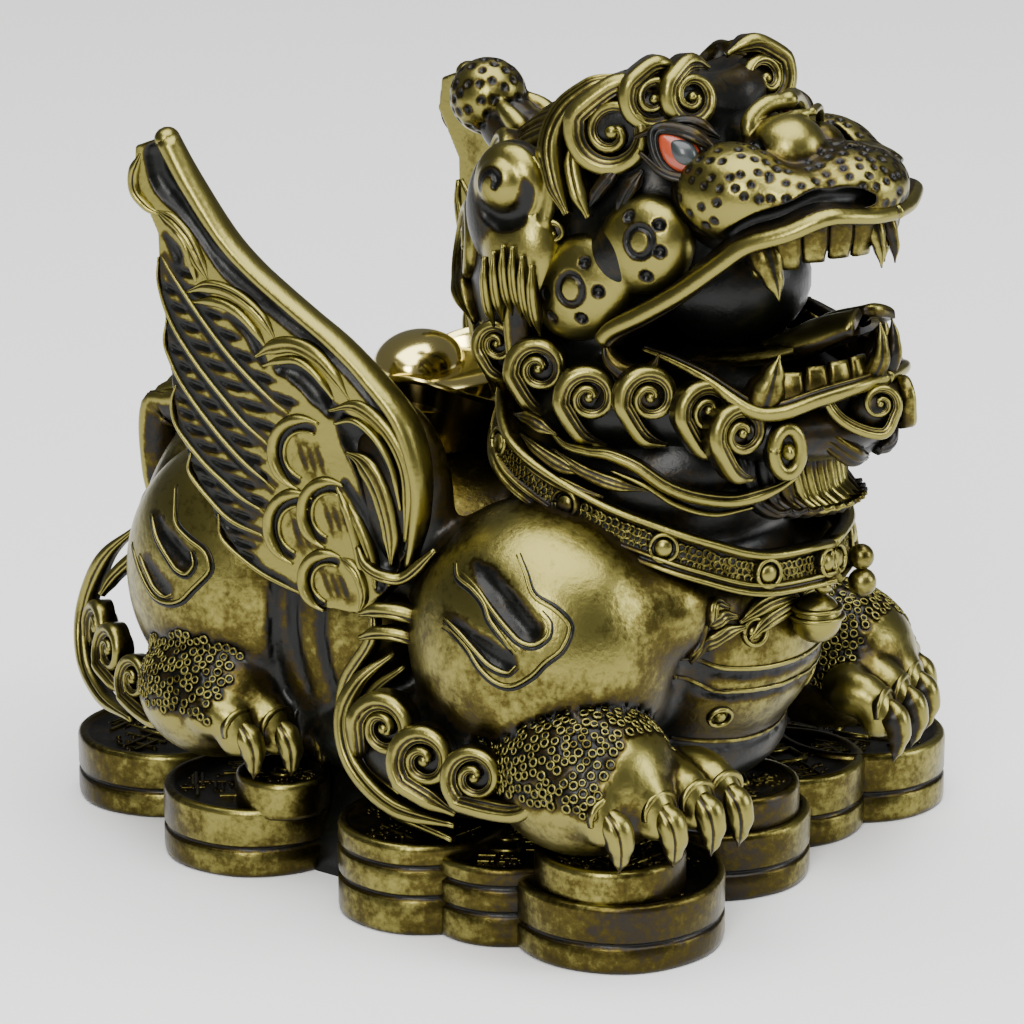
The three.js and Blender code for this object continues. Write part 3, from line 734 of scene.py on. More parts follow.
def makeMane():
    for i, (centre, radius, start, turns) in enumerate(maneCurls):
        facing = [1 - 0.09 * i, -0.25 - 0.13 * i, 0.08]
        lead = leadIn(centre, radius, facing, ((-70, 1.75, 1.4), (-86, 1.52, 0.9), (-104, 1.27, 0.3)))
        addCurl(mane, centre, radius, start, facing, lead, turns=turns)
    # the round knob at the end of the row
    knob = np.array([11.6, -50.3, 64.8])
    knobFacing = unit([0.62, -0.78, 0.05])
    _, right, up = discAxes(knobFacing)
    turn = fullTurn(28)
    ring = knob + 2.0 * (np.cos(turn)[:, None] * right * 0.86 + np.sin(turn)[:, None] * up * 1.45)
    section = plainSection(1.2, 14)
    for side in both:
        sweep(mane, np.vstack([ring, ring[:2]]), 0.95, 1.2, knobFacing, section, 44, side)
        addBall(mane, knob + knobFacing * 0.5, [0.85, 1.15, 1.4], 1, knobFacing, 7, 14, (side,))
        addBall(mane, knob - knobFacing * 0.9, [2.2, 3.4, 1.2], 0, knobFacing, 7, 14, (side,))
    # the chin: one curl to each side, over two rolled folds
    addCurl(mane, [2.9, -58.4, 70.2], 2.5, -62, [0.72, -0.68, 0.1],
            [[7.6, -52.6, 73.2], [6.8, -53.8, 69.6], [5.4, -56.2, 67.4], [3.2, -59.2, 66.6]], -1, 1.6, 0.3)
    addBall(mane, [0, -56.4, 69.2], [4.6, 3.4, 3.4], 0.1)
    addLock(mane, [[8, -51.6, 67.6], [6.4, -54, 65.2], [3.8, -55.4, 63.2], [1.4, -55.6, 62.6]],
            [0.6, 1.5, 1.6, 0.6], [0.7, 1.4, 1.5, 0.6], outChin, (-0.3, 0.3), both, 26, 0.3)
    addBall(mane, [0, -53.4, 64.8], [5.4, 2.6, 3.2], 0.05)


# centre, radius, start, turns, width of the band, facing, sides
crownCurls = [
    ([15, -26.2, 102.8], 5.4, 120, 1.8, 0.26, [0.93, -0.35, 0.12], both),
    ([12, -30.2, 106.9], 3.9, 112, 1.7, 0.3, [0.7, -0.68, 0.14], (-1,)),
    ([8.6, -33.4, 107], 3.9, 112, 1.7, 0.3, [0.45, -0.86, 0.2], (-1,)),
    ([8.2, -33.4, 106.6], 4.2, 112, 1.7, 0.3, [-0.26, -0.93, 0.22], (1,)),
]


def makeCrown():
    for centre, radius, start, turns, band, facing, sides in crownCurls:
        lead = leadIn(centre, radius, facing, ((40, 1.3, 1.6), (66, 1.16, 0.9), (92, 1.06, 0.3)))
        addCurl(mane, centre, radius, start, facing, lead, -1, turns, band, sides)
    # plain locks combed back over the top of the head
    for x, path in ((2.6, [[-27, 107], [-20, 110], [-12, 108], [-5, 102], [-1, 94]]),
                    (7.4, [[-24, 107], [-18, 109], [-11, 106], [-5, 100], [-1, 93]]),
                    (11.6, [[-21, 106], [-16, 106], [-10, 102], [-6, 97], [-3, 91]])):
        addLock(mane, [[x, y, z] for y, z in path], [0.3, 1.5, 1.8, 1.6, 0.4], [0.3, 0.8, 0.9, 0.8, 0.3],
                None, (-0.4, 0.3), both, 40, 0.7, headBlock, 0.0)
    # the broad double band that rises from the ear to the first crown curl
    addLock(mane, [[18.6, -21.8, 92.4], [18.2, -19.6, 96.2], [17.4, -18.4, 100.8], [16, -19.6, 105],
                   [14.4, -22.6, 108], [12.6, -25.8, 109.4]],
            [0.5, 1.3, 1.6, 1.6, 1.3, 0.5], [0.6, 1.4, 1.6, 1.6, 1.3, 0.5], [0.9, 0.1, 0.3],
            (-0.4, 0.05, 0.5), both, 44)
    addLock(mane, [[18, -24.6, 92.2], [17.6, -22.8, 95.4], [17, -21.6, 98.4], [16.4, -21, 101.4]],
            [0.4, 1.2, 1.2, 0.4], [0.5, 1.3, 1.3, 0.5], [0.9, -0.1, 0.2], (0.0,), both, 26)
    addCurl(mane, [12.4, -3, 84.5], 6, -90, [0.6, 0.8, 0.1], [[15.2, -5, 75], [14.5, -3, 78]])
    addCurl(mane, [9.6, -5.6, 95], 4.4, -120, [0.65, 0.75, 0.2], [[13, -4, 88], [12, -4, 90.6]])
    addCurl(mane, [4.2, -1.2, 72.5], 4.4, 100, [0.25, 0.95, 0], [[6.5, -2, 80], [5.6, -1.4, 78.4]], -1)
    # long locks down the back of the head
    for k in range(5):
        x = 3.0 + 3.6 * k
        y = 3.2 - 0.055 * x * x
        addLock(mane, [[x * 0.8, y - 8, 98 - 0.1 * x], [x, y - 1.4, 90], [x * 1.04, y, 80],
                       [x * 1.05, y - 1, 70], [x * 0.96, y - 2.5, 63]], [0.6, 1.8, 1.9, 1.7, 0.3],
                [0.6, 1.7, 1.7, 1.5, 0.3], [0.1 + 0.06 * k, 1, 0.1], (-0.4, 0.4), both, 34)


def makeManeHem():
    # the rolled edge under the curls and the combed hair behind it
    addLock(mane, maneHem["edge"], [0.3, 0.6, 0.8, 0.9, 0.95, 0.9, 0.4], [0.5, 1.2, 1.4, 1.5, 1.5, 1.4, 0.5],
            maneHem["outward"], (0.45,), both, 60)
    addLock(mane, maneHem["second"], [0.2, 0.4, 0.45, 0.4, 0.2], [0.4, 0.8, 0.9, 0.8, 0.4],
            maneHem["outward"], (), both, 40, 0.7)
    for path in maneHem["wisps"]:
        addLock(mane, path, [0.2, 0.8, 1.0, 0.2], [0.4, 0.8, 0.9, 0.3], maneHem["outward"], (-0.3, 0.35),
                both, 24, 0.62)


maneHem = {
    "outward": [0.8, -0.5, 0.15],
    "edge": [[21.2, -21, 65], [21.8, -23.6, 63.6], [21.8, -27.2, 63.2], [21.4, -30.4, 63.2],
             [20.2, -33.6, 62], [18.6, -37, 59.6], [16.4, -40.2, 58.2], [13, -44, 57.6],
             [9.6, -47.4, 58.8], [7.6, -49.4, 60.4]],
    "second": [[21.4, -30.6, 61.2], [19.8, -34.6, 59.6], [17.8, -38, 57.2], [14.8, -41.6, 55.8],
               [10.6, -44.8, 56.2]],
    "wisps": [
        [[21, -15.6, 66], [21.8, -18.2, 66], [22.2, -20.6, 65.4], [21.8, -22.6, 64.6]],
        [[21.4, -16.8, 63.6], [22.8, -20.6, 62.4], [22.8, -24.4, 61], [22.2, -27.6, 60.4]],
        [[21.8, -22, 62.6], [22.6, -26.6, 61], [21.4, -31, 59.6], [19.4, -34.8, 58.8]],
        [[21.6, -15.4, 62.2], [22.8, -19.6, 60.2], [22.8, -24.6, 58.6], [21.6, -29.6, 57.6]],
    ],
}
makeMane()
makeCrown()
makeManeHem()
print("mane and curls made")

# wings: flat plates with the feathers cut into their faces

wing = {
    "cell": 0.3,
    "thickness": 3.0,
    "slotWidth": 0.46,
    "slotSpacing": 2.5,
}
wingOutline = np.array([
    [31.2, 98.2], [34.2, 97], [34.9, 92.4], [32.6, 88.6], [31.2, 86], [30.9, 79], [30, 70], [28.8, 60.5],
    [26.2, 54.4], [22.4, 48.4], [19.4, 44.6], [14, 41.4], [6, 39.4], [0, 39.4], [-4.2, 44], [-6.6, 50],
    [-7.2, 57], [-5.4, 64.6], [0.2, 69.8], [8.2, 76], [14.4, 79.8], [19.6, 84], [24, 89.4], [27.4, 94.4],
])


def wingX(y, z):
    return 30 + 0.1 * (y + 5) + 0.05 * np.maximum(0, 60 - z)


def onWing(points, out=1.5):
    y, z = np.asarray(points, float).T
    return np.stack([wingX(y, z) + out, y, z], -1)


wingBlock = newBlock([26, -12, 35], [38, 38, 102], wing["cell"])


wingBar = [[30.4, 98], [28.2, 94.6], [26.2, 91.8], [23.4, 88.2], [20.5, 85], [17.1, 82.2], [13.1, 79.5],
           [9, 76.9], [4.4, 74], [0, 70.4], [-4.8, 65.4], [-7.2, 59], [-7.4, 53], [-6, 46.4]]
# ridges between the feathers, from tip to root, as seen from the side
ridges = [
    [[30.6, 82.8], [28.5, 80], [24.5, 75.2], [19.9, 70.4], [14.1, 65.8], [11.5, 64.4]],
    [[31.1, 82.6], [31.2, 79.2], [29.2, 74], [25.5, 69.1], [20.6, 64.2], [17.7, 61.7], [14.2, 59.5]],
    [[30, 74.4], [30.5, 71.6], [29.6, 69.1], [27.4, 65.5], [23, 60.7], [18.4, 56.9], [13.5, 54]],
    [[28.8, 65.8], [29.6, 63.2], [28.6, 59.9], [24.9, 56.2], [21.6, 53.9], [18.5, 52], [15.2, 50.8]],
    [[26.6, 57], [26.8, 54.4], [23.4, 51], [20, 48.7], [15.2, 47.5]],
    [[22.2, 49.4], [21.4, 46], [16.4, 42.9], [12, 41.4], [8.9, 40.6]],
]
# scales at the root of the feathers: middle, then reach back and up
coverts = [([8.9, 59.2], [5.0, 4.8]), ([9.6, 49.2], [4.8, 4.8]), ([4.9, 51.8], [4.4, 4.5]),
           ([4.9, 42.8], [4.1, 3.9])]
# dark hollows of the wing: path, then width
wingHollows = [
    ([[31.2, 96], [30.4, 93], [27.6, 90.2], [24.8, 87.2], [22.4, 84.4], [19.6, 82.2], [15.8, 79.8],
      [11.6, 77], [7.2, 74.8], [3, 72], [-0.6, 68.6], [-4.6, 63]],
     [1.6, 1.7, 1.1, 1.0, 1.5, 1.5, 1.1, 1.3, 1.0, 1.0, 0.7, 0.6]),
    ([[4.6, 66], [1.6, 62.4], [-1, 58], [-2.6, 53], [-3.4, 47]], [0.6, 2.2, 2.3, 2.2, 1.8]),
    ([[29.8, 85.6], [28.2, 83.4], [27.6, 80.8]], [0.4, 0.8, 0.4]),
    ([[20.6, 76.2], [17.6, 74.4], [15.8, 71.8], [15.2, 70.6]], [0.3, 0.7, 0.8, 0.5]),
    ([[12.6, 70.4], [9.8, 70], [7, 67.8], [5.4, 65.6]], [1.0, 1.7, 1.7, 0.8]),
    ([[-0.4, 64], [-3.8, 60.6], [-5.4, 55.6], [-5, 48.6]], [0.5, 1.2, 1.4, 1.0]),
    ([[0.6, 62], [-0.6, 60.4], [-3.2, 57.4], [-4.8, 51.6]], [0.4, 0.6, 0.6, 0.6]),
    ([[3, 56.4], [0.2, 53], [-2, 48.4], [-2.6, 43.6]], [0.5, 0.7, 0.8, 0.8]),
]


def beside(path, shift):
    # a line that keeps to one side of another, in the plane of the wing
    line = smoothPath(onWing(path, 0), 40)[:, 1:]
    run = unit(np.gradient(line, axis=0))
    return line + shift * np.stack([-run[:, 1], run[:, 0]], -1)


def carveWing(block):
    x, y, z = blockAxes(block)
    y, z = y[:, None], z[None, :]
    face = wing["thickness"] / 2
    depth = np.abs(x[:, None, None] - wingX(y, z)[None]) - face
    merge(block, (slice(None),) * 3, np.maximum(depth, polygonGap(wingOutline, y, z)[None]), 0.5, 0.85)
    for path, size in wingHollows:
        addRope(block, onWing(path, face + 0.35), size, 0.4, 0.0, True, (1,), 40)
    for path in ridges:
        for shift in (-0.62, 0.62):
            addRope(block, onWing(beside(path, shift), face + 0.2), [0.15, 0.36, 0.36, 0.36, 0.15], 0.12,
                    0.0, True, (1,), 40)
    # the scales at the root are combed with fine lines
    for (y, z), (back, up) in coverts:
        angle = np.radians(np.linspace(104, -70, 20))
        line = np.stack([y + 0.78 * back * np.cos(angle), z + 0.78 * up * np.sin(angle)], -1)
        addRope(block, onWing(line, face + 0.2), 0.42, 0.15, 0.0, True, (1,), 30)
        for k in range(3):
            comb = [[y + 1.4 - 1.3 * k, z + 0.45 * up], [y + 0.4 - 1.3 * k, z - 0.1 * up],
                    [y - 0.4 - 1.3 * k, z - 0.55 * up]]
            addRope(block, onWing(comb, face + 0.22), [0.1, 0.3, 0.1], 0.1, 0.15, True, (1,), 10)


def carveSlots(block):
    # a row of dark pointed slots down each feather
    face = wing["thickness"] / 2
    rows = [[[y - 5.0, z + 0.6] for y, z in ridges[0]], *ridges]
    rows = [smoothPath(onWing(row, 0), 60)[::-1, 1:] for row in rows]
    for k, (upper, lower) in enumerate(zip(rows[:-1], rows[1:])):
        spacing = wing["slotSpacing"] - 0.17 * k
        for z in np.arange(min(upper[-1, 1], lower[-1, 1]) - 1.4, lower[0, 1] + 1.2, -spacing):
            left = np.interp(z, lower[:, 1], lower[:, 0])
            right = np.interp(z, upper[:, 1], upper[:, 0])
            span = left - right
            if span < 2.2:
                continue
            slot = [[left - 0.14 * span, z + 0.5], [left - 0.36 * span, z - 0.1],
                    [left - 0.6 * span, z - 0.35], [left - 0.82 * span, z - 0.45]]
            size = wing["slotWidth"]
            addRope(block, onWing(slot, face + 0.1), [0.1, size, size, 0.1], 0.12, 0.0, True, (1,), 12)


carveWing(wingBlock)
carveSlots(wingBlock)
wings = newPiece("pixiuWings", brass)
wingOut = [1, -0.1, 0.05]
plumes = [
    ([[33.4, 96.2], [34.6, 93.2], [34.3, 90.7], [32.3, 88.9], [30.4, 88.3]], 0.8, (0.3,)),
    ([[31.6, 88.9], [28.6, 87.4], [26.4, 85.4], [24.8, 82.8], [23.4, 80.2]], 1.25, (-0.35, 0.4)),
    ([[29.6, 87.2], [27.2, 85.4], [26, 82.8], [25.4, 80]], 0.6, ()),
    ([[26.8, 78.5], [23.8, 79.6], [20.6, 79.5], [17.6, 78.3], [15, 76.3], [13.2, 73.4]], 0.95, (0.3,)),
    ([[25.9, 77.3], [22.3, 77.8], [19.2, 77], [16.6, 75], [14.6, 72.4]], 0.75, ()),
    ([[16.6, 71.2], [14, 72.8], [10.8, 73.6], [7.6, 72.8], [4.8, 70.6], [2.4, 67.4]], 1.15, (-0.2,)),
    ([[15.4, 70.2], [12.8, 71.2], [9.8, 71.6], [7, 70], [4.8, 67.2]], 0.6, ()),
]
leafBands = [
    ([[5.6, 65.6], [1.2, 66.8], [-3.0, 64.4], [-5.6, 60.4], [-6.4, 56], [-6, 50]], 1.0, (-0.2,)),
    ([[4.8, 64], [1.4, 64.8], [-2, 62.6], [-4.2, 59], [-5.2, 54]], 0.5, ()),
    ([[3.2, 60.4], [0.4, 59.4], [-2.2, 56], [-3.8, 51], [-4, 46.4]], 1.5, (-0.25, 0.35)),
    ([[2.8, 54], [0.4, 50.6], [-1.2, 47], [-1.8, 43]], 0.8, (0.0,)),
    ([[4.4, 55.8], [2.2, 52], [0.8, 47.6], [0.4, 44]], 0.7, ()),
    ([[3.8, 46.6], [1, 45], [-0.2, 42], [0.6, 39.6]], 0.85, (0.2,)),
]


def makeWings():
    turn = fullTurn(22)
    barSide = np.stack([np.cos(turn), np.sin(turn), 0.82 + 0.25 * np.sin(turn) ** 2], -1)
    barLine = onWing(wingBar, 0)
    for side in both:
        sweep(wings, barLine, [1.6, 1.45, 1.25, 1.15, 1.15, 1.2, 1.3, 1.3, 1.1, 0.7],
              [1.9, 2.2, 2.3, 2.3, 2.3, 2.4, 2.6, 2.7, 2.4, 1.4], wingOut, barSide, 90, side)
        addBall(wings, barLine[0], [1.62, 1.62, 1.9], 0.95, wingOut, 9, 20, (side,))
    for group in (plumes, leafBands):
        for points, halfWidth, grooves in group:
            addLock(wings, onWing(points, 1.3), [0.25, halfWidth, halfWidth, halfWidth * 0.85, 0.25],
                    [0.3, 0.95, 1.0, 0.9, 0.3], wingOut, grooves, both, 40, 1.1, None, 0.0, 1.4)
    for (y, z), (back, up) in coverts:
        # a scale: a bright rim with a fine line inside it; carveWing cuts the rest
        angle = np.radians(np.linspace(112, -78, 22))
        for share, half, height in ((1.0, 0.8, 1.1), (0.66, 0.26, 0.45)):
            rim = np.stack([y + back * share * np.cos(angle), z + up * share * np.sin(angle)], -1)
            addLock(wings, onWing(rim, 1.4), [0.2, half, half, half, 0.2],
                    [0.4, height, height, height, 0.4], wingOut, (), both, 36, 1.1)
    for path in ridges:
        addLock(wings, onWing(path, 1.35), [0.15, 0.3, 0.3, 0.3, 0.15], [0.3, 0.5, 0.5, 0.5, 0.3], wingOut,
                (), both, 40, 1.15, count=8)
    # inner faces: plain feathers, one lock each
    for points in ridges:
        addLock(wings, onWing(points, -1.35), [0.4, 1.4, 1.5, 0.5], [0.5, 0.9, 0.9, 0.5], -np.array(wingOut),
                (0.0,), both, 30, 0.9)
    for points, halfWidth, grooves in plumes[3::3] + leafBands[::2]:
        addLock(wings, onWing(points, -1.35), [0.4, halfWidth * 1.3, halfWidth * 1.3, 0.5],
                [0.5, 0.9, 0.9, 0.5], -np.array(wingOut), (0.0,), both, 30, 0.9)


barSection = plainSection(1.4, 7)
makeWings()
print("wings made")


# muzzle, cheeks, ears and horn: small fine blocks laid over the head

upperLip = [[18.4, -27.3, 76.8], [18.3, -29, 78.6], [17.6, -33.2, 81.2], [16.8, -38, 84.5],
            [15.8, -42.6, 88.4], [14.8, -46, 91.2], [13, -50.6, 93], [10.4, -54, 94.8],
            [7.4, -55.8, 94.7], [4, -57, 94.2], [0, -57.6, 94]]
lowerLip = [[17.2, -32.6, 76.4], [16.8, -37, 75.4], [16.2, -41.8, 73.6], [14.6, -46.4, 70.4],
            [12.8, -49.4, 70], [9.6, -53.2, 71.6], [5.5, -56, 72.6], [0, -57, 72.8]]
muzzle = {
    "cell": 0.27,
    "pitSize": 0.33,
    "pitSpacing": 1.36,
}
muzzleBlock = newBlock([-19, -61, 86], [19, -27, 108], muzzle["cell"])


def scatterOn(block, near, reach, count, spacing, seed, keep):
    # points spread over the carved surface near a place where keep allows, none closer than the spacing
    random = np.random.default_rng(seed)
    tries = random.normal(size=(count * 14, 3))
    tries = np.asarray(near) + unit(tries) * np.asarray(reach)
    tries, normals = settleLoose(block, tries)
    good = (np.abs(sample(block["field"], block, tries)) < 0.1) & keep(tries)
    chosen, facing = [], []
    for point, normal in zip(tries[good], normals[good]):
        if all(np.linalg.norm(point - other) > spacing for other in chosen):
            chosen.append(point)
            facing.append(normal)
        if len(chosen) >= count:
            break
    return np.array(chosen), np.array(facing)


def settleLoose(block, points):
    # the same as settle, for points that form no line
    points = np.array(points, float)
    for _ in range(10):
        normal = slopeAt(block, points)
        points -= normal * sample(block["field"], block, points)[:, None] * 0.8
    return points, slopeAt(block, points)


def carveMuzzle(block):
    addBlob(block, [0, -40, 93], [13.2, 17.4, 7.6], 1.5, 0.25, -10)
    addBlob(block, [10.6, -41.2, 96.2], [6.4, 8.2, 6.3], 1.2, 1.0, sides=both)
    addBlob(block, [9, -49.2, 95.6], [4.6, 5.4, 4.2], 2.2, 0.7, sides=both)
    addBlob(block, [0, -51.2, 96.6], [8.4, 7.6, 5.2], 1.8, 0.8)
    # nose bulbs with their folds
    addBlob(block, [3.6, -44.6, 101], [4.9, 5, 4.4], 0.8, 1.0, sides=(-1,))
    addBlob(block, [3.4, -44.8, 99.9], [3.2, 3.6, 3.3], 0.6, 0.6)
    addBlob(block, [0, -38.5, 101.2], [4.6, 5.5, 3.2], 1.6, 0.1, 8)
    fold = [[6.8, -41, 101.2], [5.8, -40.4, 104.2], [3.2, -41, 105.9], [0, -42.4, 106.2]]
    addRope(block, fold, [0.7, 1.15, 1.2, 1.1], 0.5, 1.0, False, both, 20)
    second = [[7, -42.6, 100.4], [6.2, -43.2, 103.4], [3.4, -44.6, 105], [0, -46, 105.2]]
    addRope(block, second, [0.4, 0.6, 0.6, 0.5], 0.3, 0.9, False, both, 20)
    nostril = [[8.1, -43, 102.4], [8.4, -44.6, 100.4], [7, -47.6, 98.8], [4.6, -49.6, 98.7]]
    addRope(block, nostril, [0.4, 0.95, 1.0, 0.4], 0.5, 0.0, True, both, 20)
    addRope(block, [[8.6, -38.2, 99.6], [8, -44, 99.8], [7.2, -48.6, 98.6]], [0.7, 0.6, 0.3], 0.8, 0.0,
            True, both, 18)
    addRope(block, [[0, -48.4, 103], [0, -50.6, 100.4], [0, -52, 101.6]], 0.6, 0.8, 0.2, True, (1,), 12)
    # dark fold behind the pads, and the groove over the lip
    behind = [[13.6, -35.4, 101], [15.6, -35, 97.6], [15.9, -36.2, 93.6], [14.9, -40.2, 90.8]]
    addRope(block, behind, [0.5, 0.8, 0.8, 0.5], 0.6, 0.0, True, both, 20)
    over = np.array(upperLip) + [-0.1, 0.4, 2.2]
    addRope(block, over[4:], [0.5, 1.1, 1.2, 1.1, 0.9], 0.5, 0.0, True, both, 44)
    cutMouth(block)
    for centre, reach, count, seed in (([10.6, -41.2, 96.2], [6.4, 8.2, 6.3], 60, 3),
                                       ([9, -49.2, 95.6], 4.8, 26, 5),
                                       ([0, -51.2, 96.8], [8.4, 7.6, 5.2], 70, 9)):
        places, _ = scatterOn(block, centre, reach, int(count * 1.6), muzzle["pitSpacing"], seed,
                              lambda p: (p[:, 0] > -0.2) & (p[:, 2] > 91.5))
        places = places[sample(block["tone"], block, places) > 0.35]
        for place in places:
            size = muzzle["pitSize"] * (0.85 + 0.3 * ((place[1] * 7) % 1))
            addBlob(block, place, [size] * 3, 0.3, 0.0, sides=both, carve=True)


carveMuzzle(muzzleBlock)
cheek = {
    "cell": 0.27,
    "rings": [([19.8, -33.1, 90.6], 1.75), ([20.6, -23.5, 83.3], 1.8)],
    "dots": [[18.4, -35.4, 93], [18.4, -35.6, 89.5], [18.4, -33.6, 86.1], [20.4, -25.2, 87.1],
             [20, -27.4, 83.4], [19.6, -24.7, 79.6], [20.2, -20.2, 78.9], [20.8, -19.2, 82.1],
             [17.2, -31, 92.6]],
}
cheekBlock = newBlock([11, -42, 73], [24, -12, 98], cheek["cell"])


def carveCheek(block):
    addBlob(block, [15, -31.4, 89.2], [4.5, 6.8, 6.2], 1.0, 1.0, -40)
    addBlob(block, [15.8, -22.8, 82.8], [4.7, 8.4, 6.6], 1.0, 1.0, -38)
    addRope(block, [[21, -29.4, 92], [20.6, -28.4, 88.4], [20, -29.6, 84.6], [18, -32, 81]], 0.55, 0.5, 0.0,
            True, (1,), 24)
    for centre, radius in cheek["rings"]:
        place, normal = settleLoose(block, [centre])
        ring, _ = settleLoose(block, circleOn(place[0], normal[0], radius, 29, 1.1))
        addRope(block, ring, 0.36, 0.2, 0.0, True)
    for dot in cheek["dots"]:
        place, _ = settleLoose(block, [dot])
        addBlob(block, place[0], [0.75, 0.75, 0.75], 0.2, 0.0, carve=True)


carveCheek(cheekBlock)
ear = {"cell": 0.27, "disc": [20, -13, 94.9], "discRadius": 4.1}
earBlock = newBlock([11, -22, 74], [24.5, -3, 103], ear["cell"])


def carveEar(block):
    disc = np.array(ear["disc"])
    reach = ear["discRadius"]
    addBlob(block, [15.5, -11.5, 91], [5.2, 6.6, 9], 1.0, 0.1)
    # the tassel of hair under the ear, cut into locks
    addBlob(block, [17.8, -14.6, 86.2], [3.9, 5.6, 6.8], 0.6, 0.95)
    for k in range(7):
        y = -19.4 + 1.45 * k
        top = 88.6 - 1.0 * abs(k - 3)
        addRope(block, [[22.2, y, top], [21.9, y - 0.2, top - 3.4], [21.2, y - 0.1, top - 6],
                        [19.4, y, top - 9.5]],
                [0.35, 0.62, 0.72, 1.0], 0.2, 0.0, True, (1,), 16)
    addBlob(block, disc + [-1.4, 0, 0.2], [2.8, reach + 1.0, reach + 1.2], 0.4, 0.9)
    turn = np.radians(np.linspace(-170, 40, 26))[:, None]
    circle = np.cos(turn) * np.array([0, -1, 0]) + np.sin(turn) * np.array([0, 0, 1])
    crescent = disc + [1.2, 0, 0.2] + (reach + 0.1) * circle
    addRope(block, crescent, [0.4, 1.3, 1.5, 1.3, 0.4], 0.4, 0.0, True)
    addBlob(block, disc + [0, 0.3, 0.5], [2.6, reach - 0.8, reach - 0.7], 0.3, 1.1)
    comma = np.array([[0, 2.6, -0.8], [0, 2, 1.2], [0, 0.6, 2.2], [0, -0.6, 1.4], [0, -0.3, 0.2]])
    comma = disc + [2.5, 0, 0.4] + comma
    addRope(block, comma, [0.55, 0.6, 0.6, 0.65, 0.3], 0.3, 0.0, True, (1,), 20)
    addRope(block, [[17.6, -17.6, 99.6], [17, -18.2, 96], [18.4, -18.2, 91]], [1.2, 1.5, 1], 0.4, 0.9,
            False, (1,), 16)


carveEar(earBlock)
horn = {"cell": 0.32, "ball": [0, 3.8, 101.2], "ballRadius": 5.1, "pitSize": 0.44, "pitSpacing": 1.56}
hornBlock = newBlock([-9, -13, 86], [9, 11, 108], horn["cell"])


def carveHorn(block):
    addRope(block, [[0, -9, 91], [0, -4.6, 94.5], [0, 0, 97.6], [0, 3.6, 101]], [5.6, 5.0, 4.0, 3.2], 0.5,
            0.3, False, (1,), 20)
    for x, y in ((3.4, -3), (4.4, -1), (2.2, 1.5)):
        addRope(block, [[x, y - 5, 96.6], [x * 1.05, y - 1, 99.2], [x * 0.8, y + 2, 100.6]], 0.5, 0.4, 0.0,
                True, both, 14)
    addRope(block, [[3.8, -7, 96], [3.6, -2.4, 99.8], [2.6, 0.6, 101.4]], [1.5, 1.4, 0.8], 0.4, 0.9, False,
            both, 16)
    addBlob(block, horn["ball"], [horn["ballRadius"]] * 3, 0.3, 0.85)
    places, _ = scatterOn(block, horn["ball"], horn["ballRadius"], 140, horn["pitSpacing"], 21,
                          lambda p: np.linalg.norm(p - horn["ball"], axis=1) < horn["ballRadius"] + 0.15)
    for place in places:
        addBlob(block, place, [horn["pitSize"]] * 3, 0.25, 0.0, carve=True)


carveHorn(hornBlock)
print("muzzle, cheeks, ears and horn carved")

# lips, teeth, tongue and brow

face = newPiece("pixiuMouthAndBrow", brass)
toothSection = np.array([[-1, -0.6, 0.5], [-1, 0.6, 0.8], [-0.6, 1, 1], [0.6, 1, 1], [1, 0.6, 0.8],
                         [1, -0.6, 0.5], [0.6, -1, 0.5], [-0.6, -1, 0.5]])
mouth = {
    "upperRow": [[13.2, -45.6, 90.2], [11.4, -49.6, 92.2], [8.6, -52.6, 93.2], [5, -54.8, 93.4],
                 [1.6, -55.8, 93.2]],
    "lowerRow": [[12.6, -46, 70.4], [11.2, -50, 71.2], [8.4, -52.8, 72], [4.6, -54.8, 72.4],
                 [1.4, -55.4, 72.5]],
    "teeth": 5,
}


def outFrom(axisPoint, sink=0.0):
    # outward from an upright axis
    def outward(points):
        away = points - np.asarray(axisPoint, float)
        away[:, 2] = 0
        return unit(unit(away) + [0, 0, sink])
    return outward


